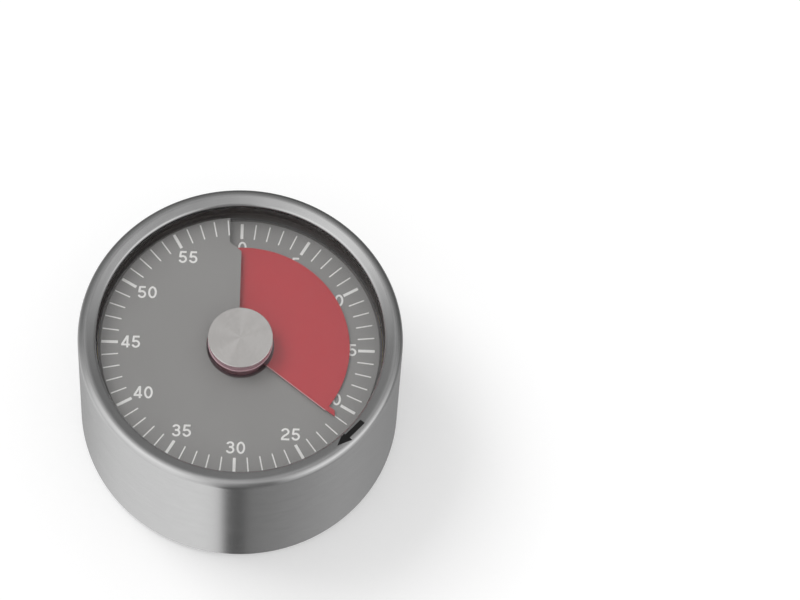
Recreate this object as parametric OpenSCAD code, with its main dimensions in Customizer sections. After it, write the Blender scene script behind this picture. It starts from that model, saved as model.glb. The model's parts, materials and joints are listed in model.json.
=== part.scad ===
// Mechanical 60-minute kitchen timer: a steel housing that is turned by hand winds the
// movement and carries a red disc round a helical dial. Millimetres, +Z up, z = 0 on the table.
// Dial angles run clockwise from 12 o'clock (+Y), as the minutes do.

/* [Housing] */
// Outer diameter of the steel housing
housing_d = 65; // [60:0.5:75]
// Height of the housing from its bottom edge to the crest of the lip
housing_h = 38.1; // [35:0.1:45]
// Thickness of the steel sheet
sheet_t = 0.8; // [0.6:0.05:0.9]
// Width of the lip, from the outside of the wall to the opening
lip_w = 3.7; // [3.2:0.1:4.5]
// Outer radius of the bend between the wall and the lip
lip_bend_r = 1.45; // [1.2:0.05:1.7]
// Slope of the lip towards the lens, in degrees
lip_slope = 20; // [12:1:26]
// Outer radius of the rounded bottom edge
bottom_bend_r = 1.3; // [1:0.05:1.6]

/* [Lens and hub] */
// Thickness of the clear lens
lens_t = 0.8; // [0.6:0.05:1.2]
// Height of the dark ring between the lens and the lip
gasket_h = 1.6; // [1.2:0.1:2]
// Height of the ring that the lens sits on
lens_seat_h = 2.7; // [1.2:0.1:3]
// Width of the gap between the lens and the disc at its highest
lens_gap = 0.27; // [0.2:0.01:0.6]
// Diameter of the brushed hub cap
hub_cap_d = 13; // [11:0.1:16]
// Height of the hub cap above the lens
hub_cap_h = 2.4; // [2:0.1:3.5]
// Thickness of the hub cap's roof
hub_cap_roof = 0.8; // [0.5:0.1:1]
// Rounding of the hub cap's top edge
hub_cap_round = 0.2; // [0.2:0.05:0.8]
// Radius of the boss that carries the disc
boss_r = 3.3; // [2.9:0.1:4]
// Radius of the boss's neck through the lens
boss_neck_r = 2.6; // [2.3:0.1:2.8]
// Thickness of the boss's floor, which the hub screw clamps
boss_web = 1.4; // [1:0.1:2]

/* [Dial and disc] */
// Width of the gap between the dial's edge and the lip's opening
dial_reveal = 0.8; // [0.3:0.05:2]
// Rise of the dial over one turn
dial_rise = 1.9; // [1:0.05:2.4]
// Thickness of the dial
dial_t = 0.3; // [0.2:0.05:0.5]
// Height of the dial's face at 0 minutes above the front plate
dial_lift = 3.6; // [3.2:0.1:5]
// Radius of the hole in the dial's middle
dial_hole_r = 6.8; // [6.2:0.1:8]
// How far the dial's end is cut back beside the 0 mark, beyond the disc
flap_cut = 2.85; // [1.8:0.05:3]
// How far the dial's end stands off the 0 line near the hub
flap_gap = 0.4; // [0.2:0.05:0.6]
// Width of the slanting step in the dial's end
flap_slant_w = 2.2; // [2:0.1:4]
// How far the slanting step starts outside the disc's rim
flap_step = 0.8; // [0:0.1:1.2]
// Angle by which the dial's start runs on under its end, in degrees
dial_tuck = 9; // [6:1:12]
// Width of the dial's band outside the red disc
dial_band = 6.05; // [4:0.05:8]
// Length of the disc's pointer tab
tab_l = 2.3; // [1:0.1:3]
// Width of the pointer tab at its tip
tab_w = 1.15; // [0.8:0.05:1.6]
// Thickness of the red disc
disc_t = 0.25; // [0.15:0.05:0.4]
// Gap between the dial's face and the disc
disc_gap = 0.3; // [0.25:0.05:0.5]
// Minutes that the timer is set to
set_minutes = 21.3; // [1:0.1:59]
// Thickness of the wall of the disc's collar
collar_wall = 2.2; // [1.5:0.1:2.6]
// Radial play of the collar on the boss
collar_play = 0.1; // [0.05:0.01:0.2]
// Gap between the disc's tab and the dial carrier's wall
carrier_gap = 0.4; // [0.2:0.1:0.8]
// Width of the dial carrier's flange
flange_w = 3; // [2.6:0.1:4]
// Thickness of the dial carrier's flange
flange_t = 0.9; // [0.7:0.1:1.2]

/* [Base] */
// How far the rubber foot holds the housing off the table
foot_gap = 0.4; // [0.3:0.05:1]
// Thickness of the tub's floor
floor_t = 2; // [1.8:0.1:2.5]
// How far the floor lies above the housing's bottom edge
floor_gap = 0.5; // [0.4:0.05:0.8]
// Thickness of the tub's wall
tub_wall = 1.2; // [1:0.1:1.6]
// Gap between the tub and the housing's wall
tub_gap = 0.8; // [0.6:0.05:1]
// Gap between the tub's rim and the ring under the lens
tub_clear = 0.62; // [0.5:0.01:2.5]
// Distance from the tub's outside to the middle of the rubber foot
foot_inset = 6.9; // [3:0.1:9]
// Width of the rubber foot
foot_w = 3.8; // [3:0.1:4.4]
// Depth of the groove that the rubber foot sits in
foot_groove = 1.1; // [0.6:0.1:1.4]
// Radius of each magnet
magnet_r = 5; // [4:0.1:5.5]
// Thickness of each magnet
magnet_t = 1.5; // [1:0.1:1.7]
// Number of magnets
magnet_count = 3; // [3:1:6]
// Radius of the circle that the magnets lie on
magnet_ring_r = 13; // [11:0.1:14.5]
// Height of the glide ring's groove
groove_h = 2; // [1.5:0.1:3]
// Depth of the glide ring's groove
groove_depth = 0.8; // [0.5:0.05:0.9]
// Width of the slot in the glide ring
glide_slot = 2; // [1:0.1:4]
// Radius of the columns that carry the movement
column_r = 2.3; // [2.1:0.1:2.6]
// Distance from the tub's wall to the middle of each column
column_inset = 2; // [1.8:0.1:2.2]

/* [Bell] */
// Space between the bell and the tub's wall, where the hammer swings
bell_space = 7.7; // [6.6:0.1:10]
// Gap between the tub's floor and the bell's rim
bell_lift = 1.7; // [1:0.1:3]
// Gap between the bell's top and the rear plate, for its screw
bell_clear = 2.1; // [1.6:0.1:3]
// Thickness of the bell's wall
bell_t = 0.8; // [0.6:0.05:1]
// Radius of the bell's shoulder
bell_shoulder_r = 7; // [3:0.1:7.5]
// Radius of the bell post
bell_post_r = 1.8; // [1.5:0.1:2.5]
// Radius of the bell post's foot
bell_foot_r = 4; // [3:0.1:6]
// Height of the bell post's foot
bell_foot_h = 1; // [0.6:0.1:2]
// Radius of the bell screw
bell_screw_r = 0.8; // [0.6:0.1:1]
// Radius of the bell screw's head
bell_screw_head_r = 2; // [1.5:0.1:3]
// Height of the bell screw's head
bell_screw_head_h = 1; // [0.7:0.1:1.4]
// Length of the bell screw below its head
bell_screw_l = 4.5; // [3:0.1:5]

/* [Movement] */
// Thickness of both plates
plate_t = 1; // [0.8:0.05:1.4]
// Gap between the plates and the tub's wall
plate_gap = 0.5; // [0.3:0.05:1]
// Gap between the highest wheel and the front plate
front_clear = 0.9; // [0.7:0.1:2]
// Radius of the main arbor
arbor_r = 1.5; // [1.3:0.05:1.6]
// Radius of the thin arbors
thin_arbor_r = 0.7; // [0.6:0.05:0.8]
// Radius of the thin arbors' pivots
pivot_r = 0.45; // [0.35:0.05:0.5]
// Radial running clearance of pivots and arbors in their bores
pivot_play = 0.05; // [0.03:0.01:0.08]
// End play of the arbors between the plates
end_play = 0.15; // [0.1:0.05:0.25]
// Radius of the pillars
pillar_r = 1.6; // [1.4:0.1:1.8]
// Radius of the circle that the pillars stand on
pillar_ring_r = 20; // [18:0.1:21]
// Radius of the pillars' spigots in the rear plate
pillar_spigot_r = 1; // [0.8:0.1:1.2]
// Radius of the plate screws
screw_r = 0.7; // [0.5:0.05:0.8]
// Radius of the plate screws' heads
screw_head_r = 1.4; // [1.1:0.1:1.5]
// Height of the plate screws' heads
screw_head_h = 0.9; // [0.6:0.1:1.1]
// Depth of the plate screws' bores below the plate
screw_l = 4; // [3:0.1:5]
// Radius of the dial carrier's screws
carrier_screw_r = 0.5; // [0.4:0.05:0.6]
// Radius of their heads
carrier_screw_head_r = 0.9; // [0.7:0.1:1]
// Height of their heads
carrier_screw_head_h = 0.6; // [0.4:0.1:0.8]
// Height of the mainspring's strip
spring_h = 4; // [3:0.1:5]
// Thickness of the mainspring's strip
spring_strip_t = 0.25; // [0.15:0.01:0.3]
// Outer radius of the mainspring
spring_outer_r = 9.3; // [8.5:0.1:10]
// Turns of the mainspring
spring_turns = 7; // [5:1:9]
// Radius of the release cam
cam_r = 5; // [4.5:0.1:5.5]
// Thickness of the release cam
cam_t = 1; // [0.8:0.1:1.2]
// Depth of the release cam's notch
cam_notch = 1.6; // [1:0.1:2]
// Thickness of the levers and of the anchor
lever_t = 0.8; // [0.6:0.05:0.9]
// Width of the release lever
lever_w = 1.8; // [1.4:0.1:2.2]
// Length of the release lever from its stud to its nose
release_arm = 11; // [10:0.1:12]
// Radius of the hammer's head
hammer_head_r = 1.8; // [1.4:0.1:2]
// Height of the hammer's head
hammer_head_h = 3; // [2:0.1:3.4]
// Gap between the hammer's head and the bell
hammer_gap = 0.6; // [0.5:0.05:0.8]
// Distance from the tub's wall to the middle of the hammer's arbor
hammer_inset = 3.2; // [2.4:0.1:4]
// Width of the hammer's arm
hammer_arm_w = 2.2; // [1.5:0.1:2.4]
// Thickness of the hammer's arm
hammer_arm_t = 1; // [0.8:0.1:1.2]
// Tip radius of the strike star
star_r = 4; // [3.5:0.1:4.2]
// Width of the hammer's tail
tail_w = 1; // [0.8:0.1:1.2]

/* [Gears] */
// Gear module of the great wheel and its pinions
coarse_module = 0.4; // [0.38:0.01:0.42]
// Gear module of the second and third wheels
fine_module = 0.35; // [0.33:0.005:0.37]
// Teeth of the great wheel
great_teeth = 60; // [56:1:64]
// Teeth of the pinions that the great wheel drives
coarse_pinion_teeth = 12; // [11:1:14]
// Teeth of the second wheel
second_teeth = 40; // [36:1:42]
// Teeth of the third wheel
third_teeth = 30; // [28:1:33]
// Teeth of the pinions that the second and third wheels drive
fine_pinion_teeth = 10; // [9:1:12]
// Play between meshing teeth, along the pitch circle
backlash = 0.1; // [0.08:0.01:0.14]
// Thickness of the second, third and strike wheels
wheel_t = 0.8; // [0.6:0.1:1]
// Thickness of the great wheel
great_t = 1; // [0.8:0.1:1.2]
// Teeth of the ratchet wheel
ratchet_teeth = 18; // [14:1:22]
// Tip radius of the ratchet wheel
ratchet_r = 4.6; // [4.2:0.1:5]
// Thickness of the ratchet wheel
ratchet_t = 0.8; // [0.6:0.1:1]
// Teeth of the escape wheel
escape_teeth = 15; // [15:1:15]
// Tip radius of the escape wheel
escape_r = 5; // [4.6:0.05:5.2]
// Thickness of the escape wheel
escape_t = 0.7; // [0.5:0.1:0.9]
// Radius of the anchor's pins
anchor_pin_r = 0.2; // [0.15:0.01:0.22]
// Gap between the escape wheel's tips and the pins while the anchor stands in the middle
anchor_play = 0.1; // [0.08:0.01:0.14]

/* [Hidden] */
$fn = 96;
set_angle = set_minutes * 6;

// Fits: glued or screwed faces, seats, and how far a cutter runs past what it cuts
touch = 0.02;
glue_gap = 0.05;
seat_play = 0.05;
over = 1;

// Housing, measured from the table up
housing_r = housing_d / 2;
housing_inner_r = housing_r - sheet_t;
housing_bottom = foot_gap;
housing_top = housing_bottom + housing_h;
lip_inner_r = housing_r - lip_w;
lip_tip_inner_bend = 0.1;
lip_tip_bend_r = sheet_t + lip_tip_inner_bend;
lip_tip_drop = 0.3;
lip_normal = 90 + lip_slope;
lip_bend = [housing_r - lip_bend_r, housing_top - lip_bend_r];
lip_run = (lip_bend[0] + (lip_bend_r - lip_tip_bend_r) * cos(lip_normal)
    - lip_inner_r - lip_tip_bend_r) / sin(lip_normal);
lip_tip = lip_bend + (lip_bend_r - lip_tip_bend_r) * [cos(lip_normal), sin(lip_normal)]
    + lip_run * [-sin(lip_normal), cos(lip_normal)];
lip_tip_z = lip_tip[1] - lip_tip_drop;

// Lens and hub, from the lip down
ring_step = 0.1;
gasket_inner_r = lip_inner_r + ring_step;
lens_seat_inner_r = lip_inner_r - ring_step;
ring_outer_r = housing_inner_r - glue_gap;
lens_top = lip_tip_z - gasket_h;
lens_z = lens_top - lens_t;
seat_z = lens_z - lens_seat_h;
hub_cap_r = hub_cap_d / 2;
hub_cap_top = lens_top + hub_cap_h;
hub_screw_r = 0.75;
hub_screw_head_r = 1.5;
hub_screw_head_h = 0.9;
hub_screw_bite = 3.4;
hub_bore_l = 4;
boss_foot_gap = 0.3;

// Dial and disc, under the lens
dial_steps = 96;
dial_z = lens_z - lens_gap - disc_t - disc_gap - dial_rise;
dial_r = lip_inner_r - dial_reveal;
disc_r = dial_r - dial_band;
tab_r = disc_r + tab_l;
step_r = disc_r + flap_step;
slant_r = step_r - flap_slant_w;
collar_inner_r = boss_r + collar_play;
collar_outer_r = collar_inner_r + collar_wall;
collar_over = 0.05;
disc_span = 372;
tab_lead = 0.5;
tab_angle = 2 * asin(tab_w / 2 / tab_r);
tab_ramp = 0.1;

// Base, from the table up
tub_bottom = housing_bottom + floor_gap;
floor_top = tub_bottom + floor_t;
tub_r = housing_inner_r - tub_gap;
tub_inner_r = tub_r - tub_wall;
tub_top = seat_z - tub_clear;
foot_r = tub_r - foot_inset;
groove_rise = 0.5;
groove_z = housing_bottom + bottom_bend_r + groove_rise;
ledge_rise = 1;
ledge_w = 1;
ledge_top = groove_z + groove_h + ledge_rise;
glide_play = 0.08;
column_root = 0.5;
column_ring_r = tub_inner_r - column_inset;
column_angles = [20, 140, 260];

// Levels of the wheels above the rear plate
spring_lift = 0.5;
ratchet_gap = 0.5;
great_gap = 0.2;
second_gap = 1.5;
escape_gap = 0.8;
cam_gap = 0.4;
third_lift = 2.5;
pinion_over = 0.4;
lever_lift = 0.1;
spring_level = spring_lift;
ratchet_level = spring_level + spring_h + ratchet_gap;
great_level = ratchet_level + ratchet_t + great_gap;
second_level = great_level + great_t + second_gap;
escape_level = second_level + wheel_t + escape_gap;
plate_space = escape_level + escape_t + front_clear;

// Plates, from the dial down
plate_r = tub_inner_r - plate_gap;
front_top = dial_z - dial_lift;
front_z = front_top - plate_t;
rear_top = front_z - plate_space;
rear_z = rear_top - plate_t;
spring_z = rear_top + spring_level;
ratchet_z = rear_top + ratchet_level;
great_z = rear_top + great_level;
second_z = rear_top + second_level;
third_z = rear_top + third_lift;
escape_z = rear_top + escape_level;
cam_z = second_z + wheel_t + cam_gap;
lever_z = cam_z + lever_lift;

// Bell, between the tub's floor and the rear plate
bell_r = tub_inner_r - bell_space;
bell_top = rear_z - bell_clear;
bell_seat_z = bell_top - bell_t;
bell_rim_z = floor_top + bell_lift;
bell_shoulder = min(bell_shoulder_r, bell_top - bell_rim_z - bell_t);
bell_post_h = bell_seat_z - floor_top;

// Pillars and screws
pillar_angles = [-40, 112, 235];
pillar_places = [for (a = pillar_angles) polar(pillar_ring_r, a)];
column_places = [for (a = column_angles) polar(column_ring_r, a)];
spigot_root = 1;
screw_tip_gap = 0.5;

// Dial carrier, its flange cut clear of the pillars' screws
carrier_steps = 36;
head_gap = 0.3;
carrier_rim_gap = 0.15;
carrier_screw_inset = 1.5;
carrier_tip_gap = 0.1;
carrier_inner_r = tab_r + carrier_gap;
carrier_outer_r = lens_seat_inner_r - carrier_rim_gap;
flange_inner_r = carrier_inner_r - flange_w;
carrier_screw_angles = [90, 210, 330];
carrier_screw_places = [for (a = carrier_screw_angles) polar(flange_inner_r + carrier_screw_inset, a)];

// Centres of the arbors
coarse_reach = coarse_module * (great_teeth + coarse_pinion_teeth) / 2;
second_reach = fine_module * (second_teeth + fine_pinion_teeth) / 2;
third_reach = fine_module * (third_teeth + fine_pinion_teeth) / 2;
second_dir = 0;
third_dir = 75;
escape_dir = 140;
anchor_dir = 130;
strike_dir = 180;
second_at = polar(coarse_reach, second_dir);
third_at = second_at + polar(second_reach, third_dir);
escape_at = third_at + polar(third_reach, escape_dir);
strike_at = polar(coarse_reach, strike_dir);

// Wheels: the direction of one tooth's middle, rims and hubs
great_phase = 0;
second_phase = 0;
third_phase = 0;
escape_phase = anchor_dir;
rim_modules = 2.2;
wheel_hub = 1;
spoke_gap = 0.1;
great_window_angles = [0, 105, 190, 275];
great_window_ring_r = 7.2;
great_window_r = 2;
escape_tooth_h = 1.3;
escape_tip_w = 0.2;
escape_window_ring_r = 2.2;
escape_window_r = 0.75;

// Anchor
anchor_spread = 30;
anchor_pin_ring_r = escape_r + anchor_pin_r + anchor_play;
anchor_reach = anchor_pin_ring_r / cos(anchor_spread);
anchor_at = escape_at + polar(anchor_reach, anchor_dir);
anchor_gap = 0.4;
anchor_z = escape_z - anchor_gap - lever_t;
anchor_arm_w = 1.3;
anchor_stem_w = 1.6;
anchor_pin_over = 0.1;
anchor_pins_at = [for (s = [-1, 1]) escape_at + polar(anchor_pin_ring_r, anchor_dir + s * anchor_spread)];
weight_reach = 4.6;
weight_r = 2;
weight_h = 2.5;
weight_at = anchor_at + polar(weight_reach, anchor_dir);

// Mainspring
spring_inner_r = 2.2;
spring_end_dir = 200;
spring_post_r = 1;
spring_post_gap = 0.4;
spring_post_over = 0.7;
spring_post_at = polar(spring_outer_r + spring_post_r + spring_post_gap, spring_end_dir);

// Click work
ratchet_tooth_h = 0.7;
click_ring_r = 7.6;
click_at = polar(click_ring_r, 60);
click_nose_gap = 0.55;
click_nose_dir = 18;
click_w = 0.9;
click_play = 0.1;
click_stud_r = 0.6;
click_spring_r = 9.2;
click_spring_t = 0.25;
click_spring_from = 68;
click_spring_to = 150;
click_spring_short = 4;

// Release cam and lever
notch_wall = 9;
notch_foot = 8;
notch_ramp_foot = 4;
notch_ramp = 12;
nose_dir = 230;
nose_r = 0.6;
nose_gap = 0.15;
nose_at = polar(cam_r + nose_r + nose_gap, nose_dir);
release_at = nose_at + polar(release_arm, nose_dir + 90);
release_eye_r = 1.6;
stud_head_r = 1.1;
stud_head_h = 0.6;
stud_head_drop = 0.7;
stud_neck = 0.2;
catch_r = 0.5;
catch_over = 0.2;

// Hammer and strike work
hammer_at = polar(tub_inner_r - hammer_inset, 200);
hammer_head_at = polar(bell_r + hammer_gap + hammer_head_r, 228);
hammer_head_drop = 0.2;
hammer_head_z = bell_rim_z - hammer_head_drop;
hammer_arm_z = hammer_head_z + hammer_head_h;
arbor_stub = 0.4;
star_tooth_h = 1.4;
star_points = 6;
star_tip_w = 0.8;
star_phase = 20;
tail_gap = 0.35;
tail_eye_wall = 0.8;
tail_line = strike_at - hammer_at;
tail_l = norm(tail_line) - star_r - tail_gap - tail_w / 2;
tail_dir = atan2(tail_line[1], tail_line[0]);
tail_over = 1.52;
catch_gap = 2.2;
catch_at = hammer_at + polar(tail_l - tail_over, tail_dir) + polar(catch_gap, tail_dir + 90);

// Wire springs of the hammer and the release lever
wire_w = 0.3;
wire_h = 0.4;
wire_lift = 0.2;
wire_post_r = 0.4;
hammer_spring_start = 5;
hammer_spring_off = 0.75;
hammer_spring_l = 5;
hammer_spring_turn = -80;
release_spring_share = 0.15;
release_spring_off = 0.5;
release_spring_l = 7;
release_spring_dir = -60;

// A point at radius r in direction a, anticlockwise from +X
function polar(r, a) = r * [cos(a), sin(a)];

// Points of an arc round centre c, from angle a to angle b
function arc(c, r, a, b, n = 12) = [for (i = [0:n]) c + polar(r, a + (b - a) * i / n)];

// Reverse order of a list
function turned(v) = [for (i = [len(v) - 1:-1:0]) v[i]];

// Polar angle that an involute of base radius b has swept where it reaches radius r
function sweep_at(b, r) = r <= b ? 0 : sqrt(pow(r / b, 2) - 1) * 180 / PI - acos(b / r);

// Half the angle of a tooth at radius r
function half_tooth(teeth, m, r) =
    let (p = m * teeth / 2, b = p * cos(20))
    90 / teeth - backlash / p * 90 / PI + sweep_at(b, p) - sweep_at(b, r);

// Radii at which a tooth's flank gets its points
function flank(teeth, m) =
    let (p = m * teeth / 2, low = max(p * cos(20), p - 0.9 * m), top = p + 0.85 * m)
    [p - 1.25 * m, low, (low + top) / 2, top];

// Outline of a spur gear with a tooth's middle in direction phase
function gear_points(teeth, m, phase) =
    let (f = flank(teeth, m))
    [for (i = [0:teeth - 1]) let (a = phase + 360 * i / teeth) each concat(
        [for (r = f) polar(r, a - half_tooth(teeth, m, max(r, f[1])))],
        [for (r = turned(f)) polar(r, a + half_tooth(teeth, m, max(r, f[1])))])];

// Phase of a gear that meshes with another one lying in direction dir from it
function mesh_phase(teeth, other_teeth, other_phase, dir) =
    dir + 180 + 180 / teeth - (other_phase - dir) * other_teeth / teeth;

// Outline of a wheel with pointed teeth
function star_outline(teeth, tip_r, root_r, tip_w, phase) =
    [for (i = [0:teeth - 1]) let (a = phase + 360 * i / teeth, h = tip_w / 2 / tip_r * 180 / PI)
        each [polar(root_r, a - 90 / teeth), polar(tip_r, a - h),
            polar(tip_r, a + h), polar(root_r, a + 90 / teeth)]];

// Outline of a ratchet wheel
function ratchet_outline(teeth, tip_r, root_r) =
    [for (i = [0:teeth - 1]) let (a = 360 * i / teeth)
        each [polar(root_r, a), polar(tip_r, a)]];

// Outline of a spiral strip that is t thick
function spiral_outline(r0, r1, turns, t, end_dir) =
    let (n = turns * 24, line = [for (i = [0:n]) [r0 + (r1 - r0) * i / n,
        end_dir - 360 * turns * (1 - i / n)]])
    concat([for (p = line) polar(p[0] - t / 2, p[1])],
        [for (p = turned(line)) polar(p[0] + t / 2, p[1])]);

// Closed sheet over a grid of [radius, clockwise angle] places, its underside dial_rise per turn
module helical_sheet(grid, bottom_z, t) {
    rows = len(grid);
    cols = len(grid[0]);
    flat = [for (row = grid) each row];
    size = rows * cols;
    places = [for (p = flat) [p[0] * sin(p[1]), p[0] * cos(p[1]), dial_rise * p[1] / 360]];
    points = concat([for (p = places) p + [0, 0, bottom_z + t]], [for (p = places) p + [0, 0, bottom_z]]);
    faces = concat(
        [for (k = [0:rows - 2], i = [0:cols - 2]) let (a = k * cols + i, d = a + cols)
            each [[a, a + 1, d + 1], [a, d + 1, d],
                [size + a, size + d + 1, size + a + 1], [size + a, size + d, size + d + 1]]],
        [for (k = [0:rows - 2]) let (a = k * cols, d = a + cols, b = a + cols - 1, c = b + cols)
            each [[a, d, size + d], [a, size + d, size + a],
                [c, b, size + b], [c, size + b, size + c]]],
        [for (i = [0:cols - 2]) let (a = i, e = (rows - 1) * cols + i)
            each [[a + 1, a, size + a], [a + 1, size + a, size + a + 1],
                [e, e + 1, size + e + 1], [e, size + e + 1, size + e]]]);
    polyhedron(points, faces);
}

// Tube between two radii
module tube(outer, inner, h) {
    difference() {
        cylinder(h = h, r = outer);
        translate([0, 0, -over])
            cylinder(h = h + 2 * over, r = inner);
    }
}

// Bores through a plate or wheel at a list of places
module bores(places, r, z, h) {
    for (p = places)
        translate([p[0], p[1], z])
            cylinder(h = h, r = r, $fn = 48);
}

// Toothed disc with its teeth in phase
module gear(teeth, m, phase, t) {
    linear_extrude(t)
        polygon(gear_points(teeth, m, phase));
}

// Wheel with spokes, bored for its arbor
module spoked_wheel(at, z, teeth, m, phase, t, bore, windows) {
    rim_r = m * teeth / 2 - rim_modules * m;
    hub_r = bore + wheel_hub;
    window_r = (rim_r - hub_r) / 2 - spoke_gap;
    translate([at[0], at[1], z])
        difference() {
            gear(teeth, m, phase, t);
            translate([0, 0, -over])
                cylinder(h = t + 2 * over, r = bore, $fn = 48);
            for (i = [0:windows - 1])
                rotate(phase + 360 * (i + 0.5) / windows)
                    translate([(rim_r + hub_r) / 2, 0, -over])
                        cylinder(h = t + 2 * over, r = window_r, $fn = 48);
        }
}

// Thin arbor between the plates with a pivot in each, from z = low if it runs on below
module thin_arbor(at, low = rear_z) {
    translate([at[0], at[1], 0]) {
        translate([0, 0, rear_top + end_play])
            cylinder(h = plate_space - 2 * end_play, r = thin_arbor_r, $fn = 48);
        translate([0, 0, low])
            cylinder(h = front_top - low, r = pivot_r, $fn = 48);
    }
}

// Pinion cut on a thin arbor, to mesh with a wheel t thick at height z
module pinion(at, z, t, teeth, m, phase) {
    union() {
        thin_arbor(at);
        translate([at[0], at[1], z - pinion_over])
            gear(teeth, m, phase, t + 2 * pinion_over);
    }
}

// Screw with a slotted round head, its shank hanging down from z
module screw(at, z, shank_r, shank_l, head_r, head_h) {
    slot_w = head_r / 4;
    slot_depth = head_h * 0.45;
    translate([at[0], at[1], z])
        difference() {
            union() {
                cylinder(h = head_h, r = head_r, $fn = 48);
                translate([0, 0, -shank_l])
                    cylinder(h = shank_l + head_h / 2, r = shank_r, $fn = 48);
            }
            translate([-head_r - over, -slot_w / 2, head_h - slot_depth])
                cube([2 * (head_r + over), slot_w, head_h]);
        }
}

// Flat bar with round ends between two places
module bar(from, to, w, z, t) {
    line = to - from;
    translate([from[0], from[1], z])
        rotate(atan2(line[1], line[0]))
            union() {
                cylinder(h = t, d = w, $fn = 48);
                translate([0, -w / 2, 0])
                    cube([norm(line), w, t]);
                translate([norm(line), 0, 0])
                    cylinder(h = t, d = w, $fn = 48);
            }
}

// Wire spring from its tip to a post that hangs from the front plate
module wire_spring(tip, post, z) {
    union() {
        bar(tip, post, wire_w, z, wire_h);
        translate([post[0], post[1], z])
            cylinder(h = front_z - z, r = wire_post_r, $fn = 48);
    }
}

// ---- Base, fixed ----

module foot_ring() {
    color([0.12, 0.12, 0.12])
        tube(foot_r + foot_w / 2, foot_r - foot_w / 2, tub_bottom + foot_groove);
}

module base_tub() {
    foot_in = foot_r - foot_w / 2 - seat_play;
    foot_out = foot_r + foot_w / 2 + seat_play;
    color([0.16, 0.16, 0.17])
        difference() {
            union() {
                rotate_extrude()
                    polygon([[0, tub_bottom], [foot_in, tub_bottom], [foot_in, tub_bottom + foot_groove],
                        [foot_out, tub_bottom + foot_groove], [foot_out, tub_bottom], [tub_r, tub_bottom],
                        [tub_r, groove_z], [tub_r - groove_depth, groove_z],
                        [tub_r - groove_depth, groove_z + groove_h], [tub_r, groove_z + groove_h],
                        [tub_r, tub_top], [tub_inner_r, tub_top], [tub_inner_r, ledge_top],
                        [tub_inner_r - ledge_w, ledge_top], [tub_inner_r - ledge_w, floor_top],
                        [0, floor_top]]);
                for (p = column_places)
                    translate([p[0], p[1], floor_top - column_root])
                        cylinder(h = rear_z - floor_top + column_root, r = column_r);
            }
            for (i = [0:magnet_count - 1])
                rotate(360 * i / magnet_count)
                    translate([magnet_ring_r, 0, tub_bottom - over])
                        cylinder(h = magnet_t + over, r = magnet_r + seat_play);
            bores(column_places, screw_r + touch, rear_z - screw_l - over, screw_l + 2 * over);
        }
}

module magnets() {
    color([0.62, 0.62, 0.64])
        for (i = [0:magnet_count - 1])
            rotate(360 * i / magnet_count)
                translate([magnet_ring_r, 0, tub_bottom])
                    cylinder(h = magnet_t, r = magnet_r);
}

module glide_ring() {
    color([0.85, 0.85, 0.82])
        difference() {
            translate([0, 0, groove_z + seat_play])
                tube(housing_inner_r - glide_play, tub_r - groove_depth + seat_play,
                    groove_h - 2 * seat_play);
            translate([0, -glide_slot / 2, groove_z - over])
                cube([housing_r, glide_slot, groove_h + 2 * over]);
        }
}

module bell() {
    shoulder = [bell_r - bell_shoulder, bell_top - bell_shoulder];
    color([0.72, 0.72, 0.70])
        rotate_extrude()
            polygon(concat(
                [[bell_screw_r + touch, bell_top]],
                arc(shoulder, bell_shoulder, 90, 0),
                [[bell_r, bell_rim_z], [bell_r - bell_t, bell_rim_z]],
                arc(shoulder, bell_shoulder - bell_t, 0, 90),
                [[bell_screw_r + touch, bell_seat_z]]));
}

module bell_post() {
    color([0.75, 0.6, 0.3])
        translate([0, 0, floor_top])
            difference() {
                union() {
                    cylinder(h = bell_foot_h, r = bell_foot_r);
                    cylinder(h = bell_post_h, r = bell_post_r);
                }
                translate([0, 0, bell_post_h - bell_screw_l])
                    cylinder(h = bell_screw_l + over, r = bell_screw_r + touch, $fn = 48);
            }
}

module bell_screw() {
    color([0.6, 0.6, 0.6])
        screw([0, 0], bell_top, bell_screw_r, bell_screw_l, bell_screw_head_r, bell_screw_head_h);
}

// ---- Movement frame, fixed ----

function plate_pivots() = [second_at, third_at, escape_at, strike_at, anchor_at, hammer_at];

module rear_plate() {
    cut_h = plate_t + 2 * over;
    color([0.78, 0.66, 0.38])
        difference() {
            translate([0, 0, rear_z])
                cylinder(h = plate_t, r = plate_r);
            bores([[0, 0]], arbor_r + pivot_play, rear_z - over, cut_h);
            bores(plate_pivots(), pivot_r + pivot_play, rear_z - over, cut_h);
            bores(pillar_places, pillar_spigot_r + touch, rear_z - over, cut_h);
            bores(column_places, screw_r + touch, rear_z - over, cut_h);
        }
}

module front_plate() {
    cut_h = plate_t + 2 * over;
    color([0.78, 0.66, 0.38])
        difference() {
            translate([0, 0, front_z])
                cylinder(h = plate_t, r = plate_r);
            bores([[0, 0]], arbor_r + pivot_play, front_z - over, cut_h);
            bores(plate_pivots(), pivot_r + pivot_play, front_z - over, cut_h);
            bores(pillar_places, screw_r + touch, front_z - over, cut_h);
            bores(carrier_screw_places, carrier_screw_r + touch, front_z - over, cut_h);
            bores([release_at], click_stud_r + touch, front_z - over, cut_h);
        }
}

module pillars() {
    color([0.7, 0.7, 0.7])
        for (p = pillar_places)
            translate([p[0], p[1], 0])
                difference() {
                    union() {
                        translate([0, 0, rear_top])
                            cylinder(h = plate_space, r = pillar_r);
                        translate([0, 0, rear_z])
                            cylinder(h = plate_t + spigot_root, r = pillar_spigot_r);
                    }
                    translate([0, 0, front_z - screw_l])
                        cylinder(h = screw_l + over, r = screw_r + touch, $fn = 48);
                }
}

module pillar_screws() {
    color([0.55, 0.55, 0.55])
        for (p = pillar_places)
            screw(p, front_top, screw_r, plate_t + screw_l - screw_tip_gap,
                screw_head_r, screw_head_h);
}

module movement_screws() {
    color([0.55, 0.55, 0.55])
        for (p = column_places)
            screw(p, rear_top, screw_r, plate_t + screw_l - screw_tip_gap,
                screw_head_r, screw_head_h);
}

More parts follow.
